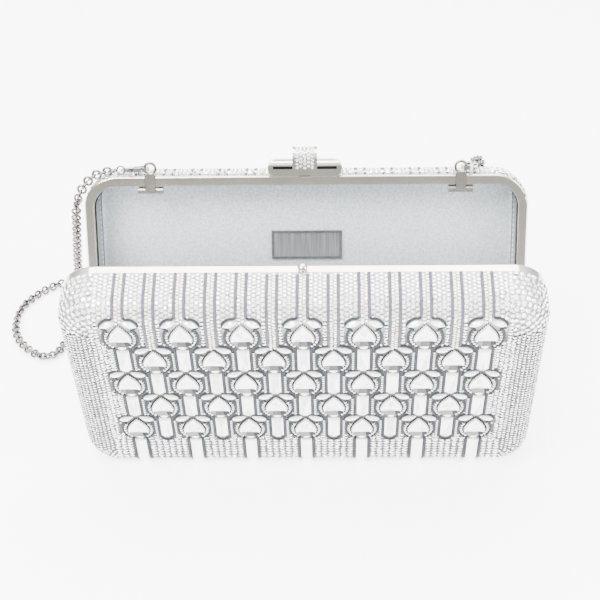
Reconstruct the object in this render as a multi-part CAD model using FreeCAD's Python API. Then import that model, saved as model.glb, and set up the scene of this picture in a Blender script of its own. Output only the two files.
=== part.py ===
"""Minaudiere: a hard evening clutch in two stone-set metal halves, open on its bottom hinge.

Units are millimetres, +Z is up, +X runs along the hinge, and the front half faces -Y.
Each half is drawn closed, with the mating plane at Y = 0 and the hinge axis along X at Z = 0,
and is then swung to its place in the open stance, where both halves stand on the floor Z = 0.
"""

import math
import os

import FreeCAD
import Part

V = FreeCAD.Vector

# Driving dimensions of the case
case_width = 191.0
case_height = 112.0
half_depth = 24.0
corner_radius = 14.5
face_edge_radius = 10.5
shell_wall = 1.0
open_angle = 35.4
mating_gap = 0.2
overrun = 1.0

# Polished frame round the mouth of each half
frame_width = 4.2
frame_depth = 4.0
frame_outer_round = 0.9
frame_inner_round = 0.5
collar_wall = 1.0
collar_depth = 3.0
collar_gap = 0.2

# Lining tray and the bare plate on it
lining_wall = 0.8
lining_gap = 0.3
plate_length = 31.5
plate_height = 13.0
plate_thick = 1.5
plate_bevel = 0.7
plate_drop = 36.0
plate_gap = 0.02

# Hinge along the bottom
hinge_length = 140.0
knuckle_count = 9
knuckle_radius = 1.9
knuckle_gap = 0.3
groove_gap = 0.3
leaf_thick = 0.8
hinge_pin_radius = 0.9
hinge_pin_gap = 0.05
pin_head_radius = 1.4
pin_head_thick = 0.6
heel_width = 6.0
heel_drop = 2.3
heel_reach = 3.4
heel_gap = 0.03
heel_space = 0.6

# Lock stud on the front frame
stud_setback = 2.6
stud_neck_radius = 1.4
stud_neck_height = 1.2
stud_head_radius = 1.95
stud_rim_height = 2.0
stud_height = 2.9

# Clasp bar on the rear frame
bar_length = 32.0
bar_lift = 0.3
bar_height = 7.2
bar_front = 4.7
bar_back = 3.0
bar_top_round = 2.6
bar_bottom_round = 0.6
slot_lift = 3.6
slot_height = 1.2
slot_depth = 1.4
slot_length = 27.0
foot_length = 28.0
foot_front = 0.4
pocket_side_gap = 0.45
pocket_top_gap = 0.45
pocket_back_gap = 0.4
rivet_radius = 0.8
rivet_gap = 0.02
rivet_spacing = 20.0
rivet_setback = 1.8
rivet_reach = 1.2
rivet_head_radius = 1.3
rivet_head_thick = 0.6

# Slider that rides on the clasp bar
slider_width = 10.4
slider_lift = 1.0
slider_top = 12.9
slider_gap = 0.15
slider_front_wall = 1.05
slider_back_wall = 1.05
slider_border = 1.1
slider_recess = 0.5
slider_sill = 2.9
tongue_gap = 0.2
notch_side_gap = 0.4
notch_top_gap = 0.3
slider_stone_size = 2.5
slider_stone_gap = 0.15
slider_stone_height = 0.9

# Chain posts that fold out through notches in the rear frame
post_inset = 29.0
post_width = 4.2
post_thick = 1.2
post_front = 0.5
post_knuckle_radius = 1.5
post_axis_drop = 6.4
post_ring_rise = 3.3
post_ring_radius = 2.4
post_ring_wire = 0.575
post_side_gap = 0.25
post_bracket_knuckle = 3.0
post_bracket_back = 0.7
post_bracket_hang = 1.1
post_bracket_gap = 0.2
post_pin_radius = 0.6
post_pin_gap = 0.05
notch_gap = 0.3

# Lobster claws that join the chain to the posts
claw_thick = 1.8
claw_nose_radius = 2.7
claw_nose_at = 2.65
claw_wire_at = 2.2
claw_heel_radius = 1.7
claw_heel_at = 8.2
claw_mouth_radius = 1.3
claw_mouth_end_radius = 0.9
claw_mouth_end_at = 6.0
gate_start = 3.2
gate_full_end = 6.4
gate_inner = 0.95
gate_gap = 0.2
gate_tip_gap = 0.4
gate_tongue_thick = 0.8
gate_pivot_at = 7.7
gate_pivot_side = 0.75
gate_boss_radius = 0.95
gate_tab_start = 8.3
gate_tab_end = 9.2
gate_tab_side = 3.1
claw_rivet_radius = 0.4
claw_rivet_gap = 0.04
claw_slot_side = 0.6
claw_eye_at = 10.6
claw_eye_radius = 1.45
claw_eye_hole = 0.8
claw_eye_thick = 1.2
left_claw_droop = 3.0
left_claw_yaw = 0.0
right_claw_droop = 0.5
right_claw_yaw = 70.0
end_ring_radius = 1.7
end_ring_wire = 0.35

# Chain, drawn as the round envelope of its links
chain_diameter = 4.2

# Ornament of cut stones: half-drop rows of drops, each with two leaves and a stem
row_count = 5
row_top_margin = 14.2
row_bottom_margin = 32.6
column_count = 7
column_margin = 24.55
drop_width = 9.2
drop_length = 13.4
drop_girdle = 0.8
drop_crown = 1.5
drop_facet_count = 13
drop_table_share = 0.62
drop_table_rise = 0.8
leaf_length = 6.4
leaf_width = 2.7
leaf_side = 4.35
leaf_rise = 7.1
leaf_slope = 20.0
leaf_crown = 0.8
leaf_girdle = 0.5
leaf_facet_count = 4
leaf_table_share = 0.5
stem_width = 4.8
stem_top_drop = 9.5
stem_tip_gap = 1.8
stem_foot_margin = 14.1
stem_taper = 2.0
stem_girdle = 0.7
stem_crown = 1.0
stem_table_share = 0.6
stem_tip_share = 0.4
stone_seat_gap = 0.02

# Places worked out from the driving dimensions
tilt = open_angle / 2.0
tilt_sin = math.sin(math.radians(tilt))
tilt_cos = math.cos(math.radians(tilt))
half_width = case_width / 2.0
hinge_height = (
    face_edge_radius + (half_depth - face_edge_radius) * tilt_sin - face_edge_radius * tilt_cos
)
hinge_half = hinge_length / 2.0
heel_start = hinge_half + pin_head_thick + heel_space
leaf_half = heel_start + heel_width
stud_top = case_height + stud_height
bar_bottom = case_height + bar_lift
bar_top = bar_bottom + bar_height
slot_bottom = bar_bottom + slot_lift
slot_top = slot_bottom + slot_height
slider_inner_front = -bar_front - slider_gap
slider_inner_back = bar_back + slider_gap
slider_front = slider_inner_front - slider_front_wall
slider_back = slider_inner_back + slider_back_wall
slider_bottom = case_height + slider_lift
slider_arch_radius = (slider_back - slider_front) / 2.0
slider_arch_y = (slider_back + slider_front) / 2.0
slider_arch_z = case_height + slider_top - slider_arch_radius
post_spacing = case_width - 2.0 * post_inset
post_axis_z = case_height - post_axis_drop
post_axis_y = post_front + post_knuckle_radius
post_mid_y = post_front + post_thick / 2.0
post_ring_z = case_height + post_ring_rise
bracket_half = post_width / 2.0 + post_side_gap + post_bracket_knuckle
row_top = case_height - row_top_margin
row_spacing = (row_top - row_bottom_margin) / (row_count - 1)
column_pitch = (case_width - 2.0 * column_margin) / (column_count - 1)
stem_length = 2.0 * row_spacing - stem_top_drop - drop_length / 2.0 - stem_tip_gap
stem_short_length = row_bottom_margin - stem_top_drop - stem_foot_margin

# Route of the chain in the open stance: the left run loops on the floor, both meet behind the case
left_route = [
    (-81.2, 35.9, 113.5),
    (-88.2, 35.8, 112.7),
    (-93.9, 34.9, 109.0),
    (-98.2, 33.6, 102.2),
    (-100.2, 34.6, 93.6),
    (-101.8, 40.0, 82.6),
    (-104.6, 48.5, 66.0),
    (-108.4, 61.5, 42.0),
    (-110.8, 77.5, 21.0),
    (-110.6, 90.0, 9.5),
    (-111.2, 100.5, 3.6),
    (-114.6, 109.0, 2.1),
    (-121.1, 114.5, 2.1),
    (-129.5, 115.5, 2.1),
    (-137.2, 111.8, 2.1),
    (-142.8, 103.5, 2.1),
    (-146.2, 89.9, 2.1),
    (-145.6, 72.9, 2.1),
    (-140.3, 62.1, 2.1),
    (-132.7, 56.4, 2.1),
    (-124.2, 55.7, 2.1),
    (-116.7, 59.7, 2.1),
    (-111.4, 68.2, 2.1),
    (-109.0, 81.0, 2.1),
    (-101.5, 92.0, 2.1),
    (-88.5, 96.5, 2.1),
    (-70.0, 93.5, 2.1),
    (-52.0, 85.2, 2.1),
    (-32.0, 82.6, 2.1),
]
right_route = [
    (73.1, 47.08, 110.5),
    (74.74, 51.38, 109.13),
    (76.24, 54.87, 106.53),
    (77.51, 57.39, 102.89),
    (78.44, 58.67, 98.57),
    (79.3, 58.75, 90.2),
    (80.0, 58.5, 72.0),
    (80.5, 58.4, 46.0),
    (80.4, 59.4, 26.0),
    (79.6, 62.6, 13.4),
    (76.6, 68.2, 5.8),
    (70.4, 75.4, 2.1),
    (59.0, 82.8, 2.1),
    (41.0, 87.2, 2.1),
    (18.0, 84.6, 2.1),
    (-6.0, 79.22, 2.1),
    (-32.0, 82.6, 2.1),
]


def box(x0, x1, y0, y1, z0, z1):
    """A box between two corners."""
    return Part.makeBox(x1 - x0, y1 - y0, z1 - z0, V(x0, y0, z0))


def along_x(radius, x0, x1, y, z):
    """A round bar along X."""
    return Part.makeCylinder(radius, x1 - x0, V(x0, y, z), V(1, 0, 0))


def along_z(radius, z0, z1, x, y):
    """A round bar along Z."""
    return Part.makeCylinder(radius, z1 - z0, V(x, y, z0), V(0, 0, 1))


def prism(points, direction):
    """A polygon pushed along a direction."""
    return Part.Face(Part.makePolygon(points + points[:1])).extrude(direction)


def rounded_plate(inset, y0, y1):
    """The outline of the case, set in by a wall, pushed from y0 to y1."""
    x = half_width - inset
    z0 = inset
    z1 = case_height - inset
    r = corner_radius - inset
    c = r * (1 - math.sqrt(0.5))
    edges = [
        Part.makeLine(V(-x + r, y0, z0), V(x - r, y0, z0)),
        Part.Arc(V(x - r, y0, z0), V(x - c, y0, z0 + c), V(x, y0, z0 + r)).toShape(),
        Part.makeLine(V(x, y0, z0 + r), V(x, y0, z1 - r)),
        Part.Arc(V(x, y0, z1 - r), V(x - c, y0, z1 - c), V(x - r, y0, z1)).toShape(),
        Part.makeLine(V(x - r, y0, z1), V(-x + r, y0, z1)),
        Part.Arc(V(-x + r, y0, z1), V(-x + c, y0, z1 - c), V(-x, y0, z1 - r)).toShape(),
        Part.makeLine(V(-x, y0, z1 - r), V(-x, y0, z0 + r)),
        Part.Arc(V(-x, y0, z0 + r), V(-x + c, y0, z0 + c), V(-x + r, y0, z0)).toShape(),
    ]
    return Part.Face(Part.Wire(edges)).extrude(V(0, y1 - y0, 0))


def edges_at(shape, y):
    """The edges of a shape that lie in the plane Y = y."""
    near = mating_gap / 100.0
    flat = [e for e in shape.Edges if e.BoundBox.YLength < near]
    return [e for e in flat if abs(e.BoundBox.Center.y - y) < near]


def pan(inset, y0, y1, edge_radius):
    """A solid block of the case's outline whose far face rolls over by a radius."""
    block = rounded_plate(inset, y0, y1)
    return block.makeFillet(edge_radius, edges_at(block, y1))


def mirrored(shape):
    """The shape of the rear half, turned into the front half's."""
    return shape.mirror(V(0, 0, 0), V(0, 1, 0))


def swing(shape, angle):
    """Swings a closed half about the hinge and lifts it onto the floor."""
    placed = shape.copy()
    placed.rotate(V(0, 0, 0), V(1, 0, 0), angle)
    placed.translate(V(0, 0, hinge_height))
    return placed


def rear(shape):
    """The rear half's place in the open stance."""
    return swing(shape, -tilt)


def front(shape):
    """The front half's place in the open stance."""
    return swing(shape, tilt)


def shell():
    """Drawn metal pan of one half, open towards the frame."""
    outer = pan(0, frame_depth, half_depth, face_edge_radius)
    inner_depth = half_depth - shell_wall
    inner = pan(shell_wall, frame_depth - overrun, inner_depth, face_edge_radius - shell_wall)
    return outer.cut(inner)


def frame():
    """Polished frame with rounded lips and a collar that seats inside the shell."""
    ring = rounded_plate(0, mating_gap, frame_depth)
    ring = ring.makeFillet(frame_outer_round, edges_at(ring, mating_gap))
    mouth = rounded_plate(frame_width, mating_gap - overrun, frame_depth + overrun)
    ring = ring.cut(mouth)
    inner_edges = [
        e
        for e in edges_at(ring, mating_gap)
        if e.BoundBox.XMax <= half_width - frame_width + mating_gap
        and e.BoundBox.ZMin >= frame_width - mating_gap
    ]
    ring = ring.makeFillet(frame_inner_round, inner_edges)
    collar_out = shell_wall + collar_gap
    collar = rounded_plate(collar_out, frame_depth, frame_depth + collar_depth)
    collar_end = frame_depth + collar_depth + overrun
    hollow = rounded_plate(collar_out + collar_wall, frame_depth - overrun, collar_end)
    body = ring.fuse(collar.cut(hollow)).removeSplitter()
    groove_half = leaf_half + groove_gap
    groove = along_x(knuckle_radius + groove_gap, -groove_half, groove_half, 0, 0)
    rebate = box(-leaf_half, leaf_half, -overrun, frame_depth, -overrun, leaf_thick)
    return body.cut(groove).cut(rebate)


def lining():
    """Sewn tray that lines one half behind the frame's collar."""
    side = shell_wall + collar_gap + collar_wall + lining_gap
    back = half_depth - shell_wall - lining_gap
    mouth = frame_depth + lining_gap
    roll = face_edge_radius - shell_wall - lining_gap
    outer = pan(side, mouth, back, roll)
    inner = pan(side + lining_wall, mouth - overrun, back - lining_wall, roll - lining_wall)
    return outer.cut(inner)


def interior_plate():
    """Bare bevelled plate on the back panel of the rear lining."""
    y1 = half_depth - shell_wall - lining_gap - lining_wall - plate_gap
    z_mid = case_height - plate_drop
    plate = box(
        -plate_length / 2.0, plate_length / 2.0,
        y1 - plate_thick, y1,
        z_mid - plate_height / 2.0, z_mid + plate_height / 2.0,
    )
    return plate.makeChamfer(plate_bevel, edges_at(plate, y1 - plate_thick))


def knuckle_spans(own):
    """The X spans of one leaf's knuckles: every second one, starting at own."""
    pitch = hinge_length / knuckle_count
    for i in range(own, knuckle_count, 2):
        x0 = -hinge_half + i * pitch
        yield x0 + knuckle_gap / 2.0, x0 + pitch - knuckle_gap / 2.0


def hinge_leaf(own):
    """Leaf in the frame's rebate, with its knuckles and a stop heel at each end."""
    plate_start = knuckle_radius + groove_gap
    leaf = box(-leaf_half, leaf_half, plate_start, frame_depth, 0, leaf_thick)
    for x0, x1 in knuckle_spans(own):
        leaf = leaf.fuse(along_x(knuckle_radius, x0, x1, 0, 0))
        leaf = leaf.fuse(box(x0, x1, 0, plate_start, 0, leaf_thick))
    for x0 in (heel_start, -heel_start - heel_width):
        lean = heel_drop * tilt_sin / tilt_cos
        heel = [
            V(x0, heel_gap, leaf_thick),
            V(x0, heel_gap, 0),
            V(x0, heel_gap + lean, -heel_drop),
            V(x0, heel_reach, -heel_drop),
            V(x0, heel_reach, leaf_thick),
        ]
        leaf = leaf.fuse(prism(heel, V(heel_width, 0, 0)))
    leaf = leaf.removeSplitter()
    return leaf.cut(along_x(hinge_pin_radius + hinge_pin_gap, -hinge_half, hinge_half, 0, 0))


def hinge_pin():
    """Hinge pin with a head at each end."""
    pin = along_x(hinge_pin_radius, -hinge_half, hinge_half, 0, 0)
    for x0 in (hinge_half, -hinge_half - pin_head_thick):
        pin = pin.fuse(along_x(pin_head_radius, x0, x0 + pin_head_thick, 0, 0))
    return pin.removeSplitter()


def lock_stud():
    """Mushroom stud that stands on the front frame, for the clasp to hold."""
    rise = stud_height - stud_rim_height
    bulge = (stud_head_radius ** 2 + rise ** 2) / (2.0 * rise)
    mid = stud_head_radius / 2.0
    mid_rise = stud_rim_height + rise - bulge + math.sqrt(bulge ** 2 - mid ** 2)
    foot = V(stud_neck_radius, 0, 0)
    neck = V(stud_neck_radius, 0, stud_neck_height)
    under = V(stud_head_radius, 0, stud_neck_height)
    rim = V(stud_head_radius, 0, stud_rim_height)
    peak = V(0, 0, stud_height)
    edges = [
        Part.makeLine(V(0, 0, 0), foot),
        Part.makeLine(foot, neck),
        Part.makeLine(neck, under),
        Part.makeLine(under, rim),
        Part.Arc(rim, V(mid, 0, mid_rise), peak).toShape(),
        Part.makeLine(peak, V(0, 0, 0)),
    ]
    stud = Part.Face(Part.Wire(edges)).revolve(V(0, 0, 0), V(0, 0, 1), 360)
    stud.translate(V(0, stud_setback, case_height))
    return stud


def rivet_places():
    """X places of the two rivets that hold the clasp bar."""
    return (-rivet_spacing / 2.0, rivet_spacing / 2.0)


def rivet_hole(x0, top):
    """Hole for a rivet, from under the frame up to a height."""
    return along_z(rivet_radius + rivet_gap, case_height - frame_width - overrun, top, x0, rivet_setback)


def clasp_bar():
    """Pill-shaped bar over the mouth, slotted front and back, with a pocket for the stud."""
    end = bar_height / 2.0
    x = bar_length / 2.0 - end
    y = -bar_front
    z = bar_bottom + end
    edges = [
        Part.makeLine(V(-x, y, z - end), V(x, y, z - end)),
        Part.Arc(V(x, y, z - end), V(x + end, y, z), V(x, y, z + end)).toShape(),
        Part.makeLine(V(x, y, z + end), V(-x, y, z + end)),
        Part.Arc(V(-x, y, z + end), V(-x - end, y, z), V(-x, y, z - end)).toShape(),
    ]
    bar = Part.Face(Part.Wire(edges)).extrude(V(0, bar_front + bar_back, 0))
    faces = edges_at(bar, -bar_front) + edges_at(bar, bar_back)
    bar = bar.makeFillet(bar_bottom_round, faces)
    crown = box(-bar_length, bar_length, -bar_front, bar_back, bar_bottom, bar_top)
    top_edges = [e for e in crown.Edges if e.BoundBox.ZMin > z and e.BoundBox.XLength > bar_length]
    bar = bar.common(crown.makeFillet(bar_top_round, top_edges))
    half = slot_length / 2.0
    bar = bar.cut(box(-half, half, -bar_front - overrun, -bar_front + slot_depth, slot_bottom, slot_top))
    bar = bar.cut(box(-half, half, bar_back - slot_depth, bar_back + overrun, slot_bottom, slot_top))
    pocket_half = stud_head_radius + pocket_side_gap
    pocket_back = -stud_setback + stud_head_radius + pocket_back_gap
    pocket_top = stud_top + pocket_top_gap
    bar = bar.cut(
        box(-pocket_half, pocket_half, -bar_front - overrun, pocket_back, bar_bottom - overrun, pocket_top)
    )
    foot_half = foot_length / 2.0
    foot_back = bar_back - bar_bottom_round
    foot = box(-foot_half, foot_half, foot_front, foot_back, case_height, slot_bottom)
    bar = bar.fuse(foot).removeSplitter()
    for x0 in rivet_places():
        bar = bar.cut(rivet_hole(x0, bar_bottom + rivet_reach + rivet_gap))
    return bar


def clasp_rivets():
    """Two rivets from inside the frame up into the clasp bar."""
    rivets = []
    head_top = case_height - frame_width
    for x0 in rivet_places():
        shank = along_z(rivet_radius, head_top, bar_bottom + rivet_reach, x0, rivet_setback)
        head = along_z(rivet_head_radius, head_top - rivet_head_thick, head_top, x0, rivet_setback)
        rivets.append(shank.fuse(head).removeSplitter())
    return Part.makeCompound(rivets)


def arch(inset, bottom, x_half):
    """The slider's arched section, set in by a depth, pushed across its width."""
    y0 = slider_front + inset
    y1 = slider_back - inset
    r = slider_arch_radius - inset
    edges = [
        Part.makeLine(V(-x_half, y0, bottom), V(-x_half, y0, slider_arch_z)),
        Part.Arc(
            V(-x_half, y0, slider_arch_z),
            V(-x_half, slider_arch_y, slider_arch_z + r),
            V(-x_half, y1, slider_arch_z),
        ).toShape(),
        Part.makeLine(V(-x_half, y1, slider_arch_z), V(-x_half, y1, bottom)),
        Part.makeLine(V(-x_half, y1, bottom), V(-x_half, y0, bottom)),
    ]
    return Part.Face(Part.Wire(edges)).extrude(V(2.0 * x_half, 0, 0))


def clasp_slider():
    """Saddle on the clasp bar: tongues in the slots, a notch for the stud, a bed for stones."""
    half = slider_width / 2.0
    sill = slider_bottom + slider_sill
    saddle = arch(0, slider_bottom, half)
    bed_half = half - slider_border
    bed = arch(-overrun, sill, bed_half).cut(arch(slider_recess, sill - overrun, bed_half + overrun))
    back_keep = box(-half, half, slider_arch_y, slider_back + overrun, slider_bottom, slider_arch_z)
    saddle = saddle.cut(bed.cut(back_keep))
    cavity = box(
        -half - overrun, half + overrun, slider_inner_front, slider_inner_back,
        slider_bottom - overrun, bar_top + slider_gap,
    )
    saddle = saddle.cut(cavity)
    tongue_out = slot_depth - tongue_gap
    for y0, y1 in (
        (slider_inner_front, -bar_front + tongue_out),
        (bar_back - tongue_out, slider_inner_back),
    ):
        saddle = saddle.fuse(box(-half, half, y0, y1, slot_bottom + tongue_gap, slot_top - tongue_gap))
    notch_half = stud_head_radius + notch_side_gap
    notch = box(
        -notch_half, notch_half, slider_front - overrun, slider_inner_front,
        slider_bottom - overrun, stud_top + notch_top_gap,
    )
    return saddle.removeSplitter().cut(notch)


def facets(base, table, height, girdle):
    """A flat-backed cut stone from its outline: base ring, girdle, sloped crown and table."""
    rings = [
        [V(x, 0, z) for x, z in base],
        [V(x, -girdle, z) for x, z in base],
        [V(x, -height, z) for x, z in table],
    ]
    faces = [Part.Face(Part.makePolygon(r + r[:1])) for r in (rings[0], rings[-1])]
    count = len(base)
    for low, high in zip(rings, rings[1:]):
        for i in range(count):
            j = (i + 1) % count
            faces.append(Part.Face(Part.makePolygon([low[i], low[j], high[j], high[i], low[i]])))
    return Part.makeSolid(Part.makeShell(faces))


def cut_stone(outline, table_share, girdle, crown, table_rise=0.0):
    """A stone whose table is its outline drawn in towards its middle."""
    mid_x = sum(x for x, z in outline) / len(outline)
    mid_z = sum(z for x, z in outline) / len(outline)
    table = [
        (mid_x + (x - mid_x) * table_share, mid_z + (z - mid_z) * table_share + table_rise)
        for x, z in outline
    ]
    return facets(outline, table, girdle + crown, girdle)


def drop_stone():
    """Pear-cut stone, point up."""
    outline = []
    for i in range(drop_facet_count):
        turn = 2.0 * math.pi * i / drop_facet_count
        wide = math.sin(turn) * math.sqrt(abs(math.sin(turn / 2.0)))
        outline.append((drop_width / 2.0 * wide, drop_length / 2.0 * math.cos(turn)))
    return cut_stone(outline, drop_table_share, drop_girdle, drop_crown, drop_table_rise)


def leaf_stone(side):
    """Navette stone that leans out and down on one side of a drop."""
    outline = []
    slope = math.radians(leaf_slope)
    for i in range(2 * leaf_facet_count):
        turn = math.pi * i / leaf_facet_count
        u = leaf_length / 2.0 * math.cos(turn)
        w = leaf_width / 2.0 * math.sin(turn) * abs(math.sin(turn))
        across = u * math.cos(slope) + w * math.sin(slope)
        outline.append((side * across, w * math.cos(slope) - u * math.sin(slope)))
    return cut_stone(outline, leaf_table_share, leaf_girdle, leaf_crown)


def stem_stone(length):
    """Baguette stone with a drawn-in lower end, hung from its top edge."""
    w = stem_width / 2.0
    tip = w * stem_tip_share
    shoulder = stem_taper - length
    outline = [(-w, 0), (w, 0), (w, shoulder), (tip, -length), (-tip, -length), (-w, shoulder)]
    return cut_stone(outline, stem_table_share, stem_girdle, stem_crown)


def motif_places():
    """X and Z of each drop on the face, with its row: odd rows hold one drop fewer."""
    for row in range(row_count):
        count = column_count - row % 2
        for i in range(count):
            yield (i - (count - 1) / 2.0) * column_pitch, row_top - row * row_spacing, row


def set_stones(stones):
    """Seats stones on the front half's face, or over its rolled top edge, in one group."""
    seat = -half_depth - stone_seat_gap
    flat_top = case_height - face_edge_radius
    roll = V(0, face_edge_radius - half_depth, flat_top)
    placed = []
    for stone, x, z in stones:
        one = stone.copy()
        one.translate(V(x, seat, min(z, flat_top)))
        if z > flat_top:
            one.rotate(roll, V(1, 0, 0), -math.degrees((z - flat_top) / face_edge_radius))
        placed.append(one)
    return Part.makeCompound(placed)


def drop_stones():
    """All the pear-cut drops of one face."""
    stone = drop_stone()
    return set_stones([(stone, x, z) for x, z, row in motif_places()])


def leaf_stones():
    """The pair of leaves above each drop."""
    pair = [(side, leaf_stone(side)) for side in (-1, 1)]
    stones = []
    for x, z, row in motif_places():
        for side, stone in pair:
            stones.append((stone, x + side * leaf_side, z + leaf_rise))
    return set_stones(stones)


def stem_stones():
    """The stem below each drop, short in the last row."""
    long_stem = stem_stone(stem_length)
    short_stem = stem_stone(stem_short_length)
    stones = []
    for x, z, row in motif_places():
        stem = short_stem if row == row_count - 1 else long_stem
        stones.append((stem, x, z - stem_top_drop))
    return set_stones(stones)


def slider_stones():
    """Small staggered stones in the slider's bed, up its front and over its top."""
    pitch = slider_stone_size + slider_stone_gap
    half = slider_stone_size / 2.0
    turns = [math.pi * i / 4.0 for i in range(8)]
    outline = [(half * math.cos(turn), half * math.sin(turn)) for turn in turns]
    stone = cut_stone(outline, stem_table_share, slider_stone_height / 3.0, slider_stone_height * 2.0 / 3.0)
    bed_radius = slider_arch_radius - slider_recess + stone_seat_gap
    straight = slider_arch_z - (slider_bottom + slider_sill)
    placed = []
    for column in (-1, 0, 1):
        run = half + stone_seat_gap + (0.0 if column else pitch / 2.0)
        while run < straight + math.pi / 2.0 * bed_radius:
            one = stone.copy()
            if run <= straight:
                one.translate(V(column * pitch, slider_arch_y - bed_radius, slider_arch_z - straight + run))
            else:
                turn = (run - straight) / bed_radius
                one.translate(V(column * pitch, slider_arch_y - bed_radius, slider_arch_z))
                one.rotate(V(0, slider_arch_y, slider_arch_z), V(1, 0, 0), -math.degrees(turn))
            placed.append(one)
            run += pitch
    return Part.makeCompound(placed)


def post_notch(x):
    """The notch through the rear frame in which a chain post lies."""
    half = post_width / 2.0 + notch_gap
    return box(
        x - half, x + half, mating_gap - overrun, post_front + post_thick + notch_gap,
        case_height - frame_width - overrun, case_height + overrun,
    )


def pin_hole(x, reach):
    """Hole for a post's pin, to a reach on both sides of the post's middle."""
    return along_x(post_pin_radius + post_pin_gap, x - reach, x + reach, post_axis_y, post_axis_z)


def chain_post(x):
    """Strap with a hinge barrel at its foot and a ring at its end."""
    half = post_width / 2.0
    strap_top = post_ring_z - post_ring_radius
    strap = box(x - half, x + half, post_front, post_front + post_thick, post_axis_z, strap_top)
    strap = strap.fuse(along_x(post_knuckle_radius, x - half, x + half, post_axis_y, post_axis_z))
    ring = Part.makeTorus(post_ring_radius, post_ring_wire, V(x, post_mid_y, post_ring_z), V(0, 1, 0))
    eye = Part.makeCylinder(
        post_ring_radius - post_ring_wire, post_thick + overrun,
        V(x, post_front - overrun / 2.0, post_ring_z), V(0, 1, 0),
    )
    post = strap.cut(eye).fuse(ring).removeSplitter()
    return post.cut(pin_hole(x, half + overrun))


def post_bracket(x):
    """Two knuckles on a back plate, hung from the inner side of the rear frame."""
    top = case_height - frame_width
    inner = post_width / 2.0 + post_side_gap
    back = post_axis_y + post_knuckle_radius + post_bracket_gap
    bracket = box(
        x - bracket_half, x + bracket_half, back, back + post_bracket_back,
        post_axis_z - post_bracket_hang, top,
    )
    for x0, x1 in ((x - bracket_half, x - inner), (x + inner, x + bracket_half)):
        bracket = bracket.fuse(along_x(post_knuckle_radius, x0, x1, post_axis_y, post_axis_z))
        bracket = bracket.fuse(box(x0, x1, post_axis_y, back, post_axis_z - post_bracket_hang, top))
    return bracket.removeSplitter().cut(pin_hole(x, bracket_half + overrun))


def post_pin(x):
    """Pin through a post's barrel and its bracket."""
    return along_x(post_pin_radius, x - bracket_half, x + bracket_half, post_axis_y, post_axis_z)


def tapered_slot(x0, r0, x1, r1, thick):
    """Two round ends joined by their outer tangents, drawn about Z = 0."""
    lean = math.acos((r0 - r1) / (x1 - x0))
    c = math.cos(lean)
    s = math.sin(lean)
    z = -thick / 2.0
    a = V(x0 + r0 * c, r0 * s, z)
    b = V(x1 + r1 * c, r1 * s, z)
    d = V(x1 + r1 * c, -r1 * s, z)
    e = V(x0 + r0 * c, -r0 * s, z)
    edges = [
        Part.makeLine(a, b),
        Part.Arc(b, V(x1 + r1, 0, z), d).toShape(),
        Part.makeLine(d, e),
        Part.Arc(e, V(x0 - r0, 0, z), a).toShape(),
    ]
    return Part.Face(Part.Wire(edges)).extrude(V(0, 0, thick))


def claw_outline():
    """The claw's outer form, from its nose at zero to its heel."""
    return tapered_slot(claw_nose_at, claw_nose_radius, claw_heel_at, claw_heel_radius, claw_thick)


def gate_hole():
    """Hole for the rivet on which the gate turns."""
    radius = claw_rivet_radius + claw_rivet_gap
    return along_z(radius, -claw_thick, claw_thick, gate_pivot_at, gate_pivot_side)


def claw_body():
    """Hook with a tail eye, open on the gate's side and slotted for the gate's tongue."""
    half = claw_thick / 2.0
    mouth = tapered_slot(
        claw_nose_at, claw_mouth_radius, claw_mouth_end_at, claw_mouth_end_radius, claw_thick + overrun
    )
    body = claw_outline().cut(mouth)
    eye = along_z(claw_eye_radius, -claw_eye_thick / 2.0, claw_eye_thick / 2.0, claw_eye_at, 0)
    body = body.fuse(eye).removeSplitter()
    body = body.cut(along_z(claw_eye_hole, -half - overrun, half + overrun, claw_eye_at, 0))
    opening = box(
        gate_start - gate_tip_gap, gate_full_end + gate_gap, gate_inner - gate_gap, gate_tab_side + overrun,
        -half - overrun, half + overrun,
    )
    tongue_half = gate_tongue_thick / 2.0 + gate_gap / 2.0
    slot = box(
        gate_full_end, gate_tab_end + gate_gap, -claw_slot_side, gate_tab_side + overrun,
        -tongue_half, tongue_half,
    )
    return body.cut(opening).cut(slot).cut(gate_hole())


def claw_gate():
    """Spring gate: a full-thick lever, a thin tongue round the rivet and a thumb tab."""
    half = claw_thick / 2.0
    tongue = gate_tongue_thick / 2.0
    span = box(gate_start, gate_full_end, gate_inner, gate_tab_side, -half, half).common(claw_outline())
    arm = box(gate_full_end, gate_tab_start, gate_inner, gate_tab_side, -tongue, tongue)
    arm = arm.common(claw_outline())
    boss = along_z(gate_boss_radius, -tongue, tongue, gate_pivot_at, gate_pivot_side)
    tab = box(gate_tab_start - gate_boss_radius, gate_tab_end, gate_inner, gate_tab_side, -tongue, tongue)
    gate = span.fuse([arm, boss, tab]).removeSplitter()
    return gate.cut(gate_hole())


def claw_rivet():
    """Rivet on which the gate turns."""
    return along_z(claw_rivet_radius, -claw_thick / 2.0, claw_thick / 2.0, gate_pivot_at, gate_pivot_side)


def claw_ring():
    """Jump ring through the tail eye, to which the chain is joined."""
    return Part.makeTorus(end_ring_radius, end_ring_wire, V(claw_eye_at + end_ring_radius, 0, 0), V(0, 1, 0))


def hooked(shape, side):
    """Hooks a claw's piece round a post's ring, pointing outwards, with its own droop and yaw."""
    droop, yaw = (left_claw_droop, left_claw_yaw) if side < 0 else (right_claw_droop, right_claw_yaw)
    placed = shape.mirror(V(0, 0, 0), V(0, 1, 0))
    placed.translate(V(-claw_wire_at, 0, 0))
    placed.rotate(V(0, 0, 0), V(0, 1, 0), droop)
    placed.rotate(V(0, 0, 0), V(0, 0, 1), yaw)
    placed.translate(V(post_ring_radius, 0, 0))
    if side < 0:
        placed = placed.mirror(V(0, 0, 0), V(1, 0, 0))
    placed.translate(V(side * post_spacing / 2.0, post_mid_y, post_ring_z))
    return placed


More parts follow.
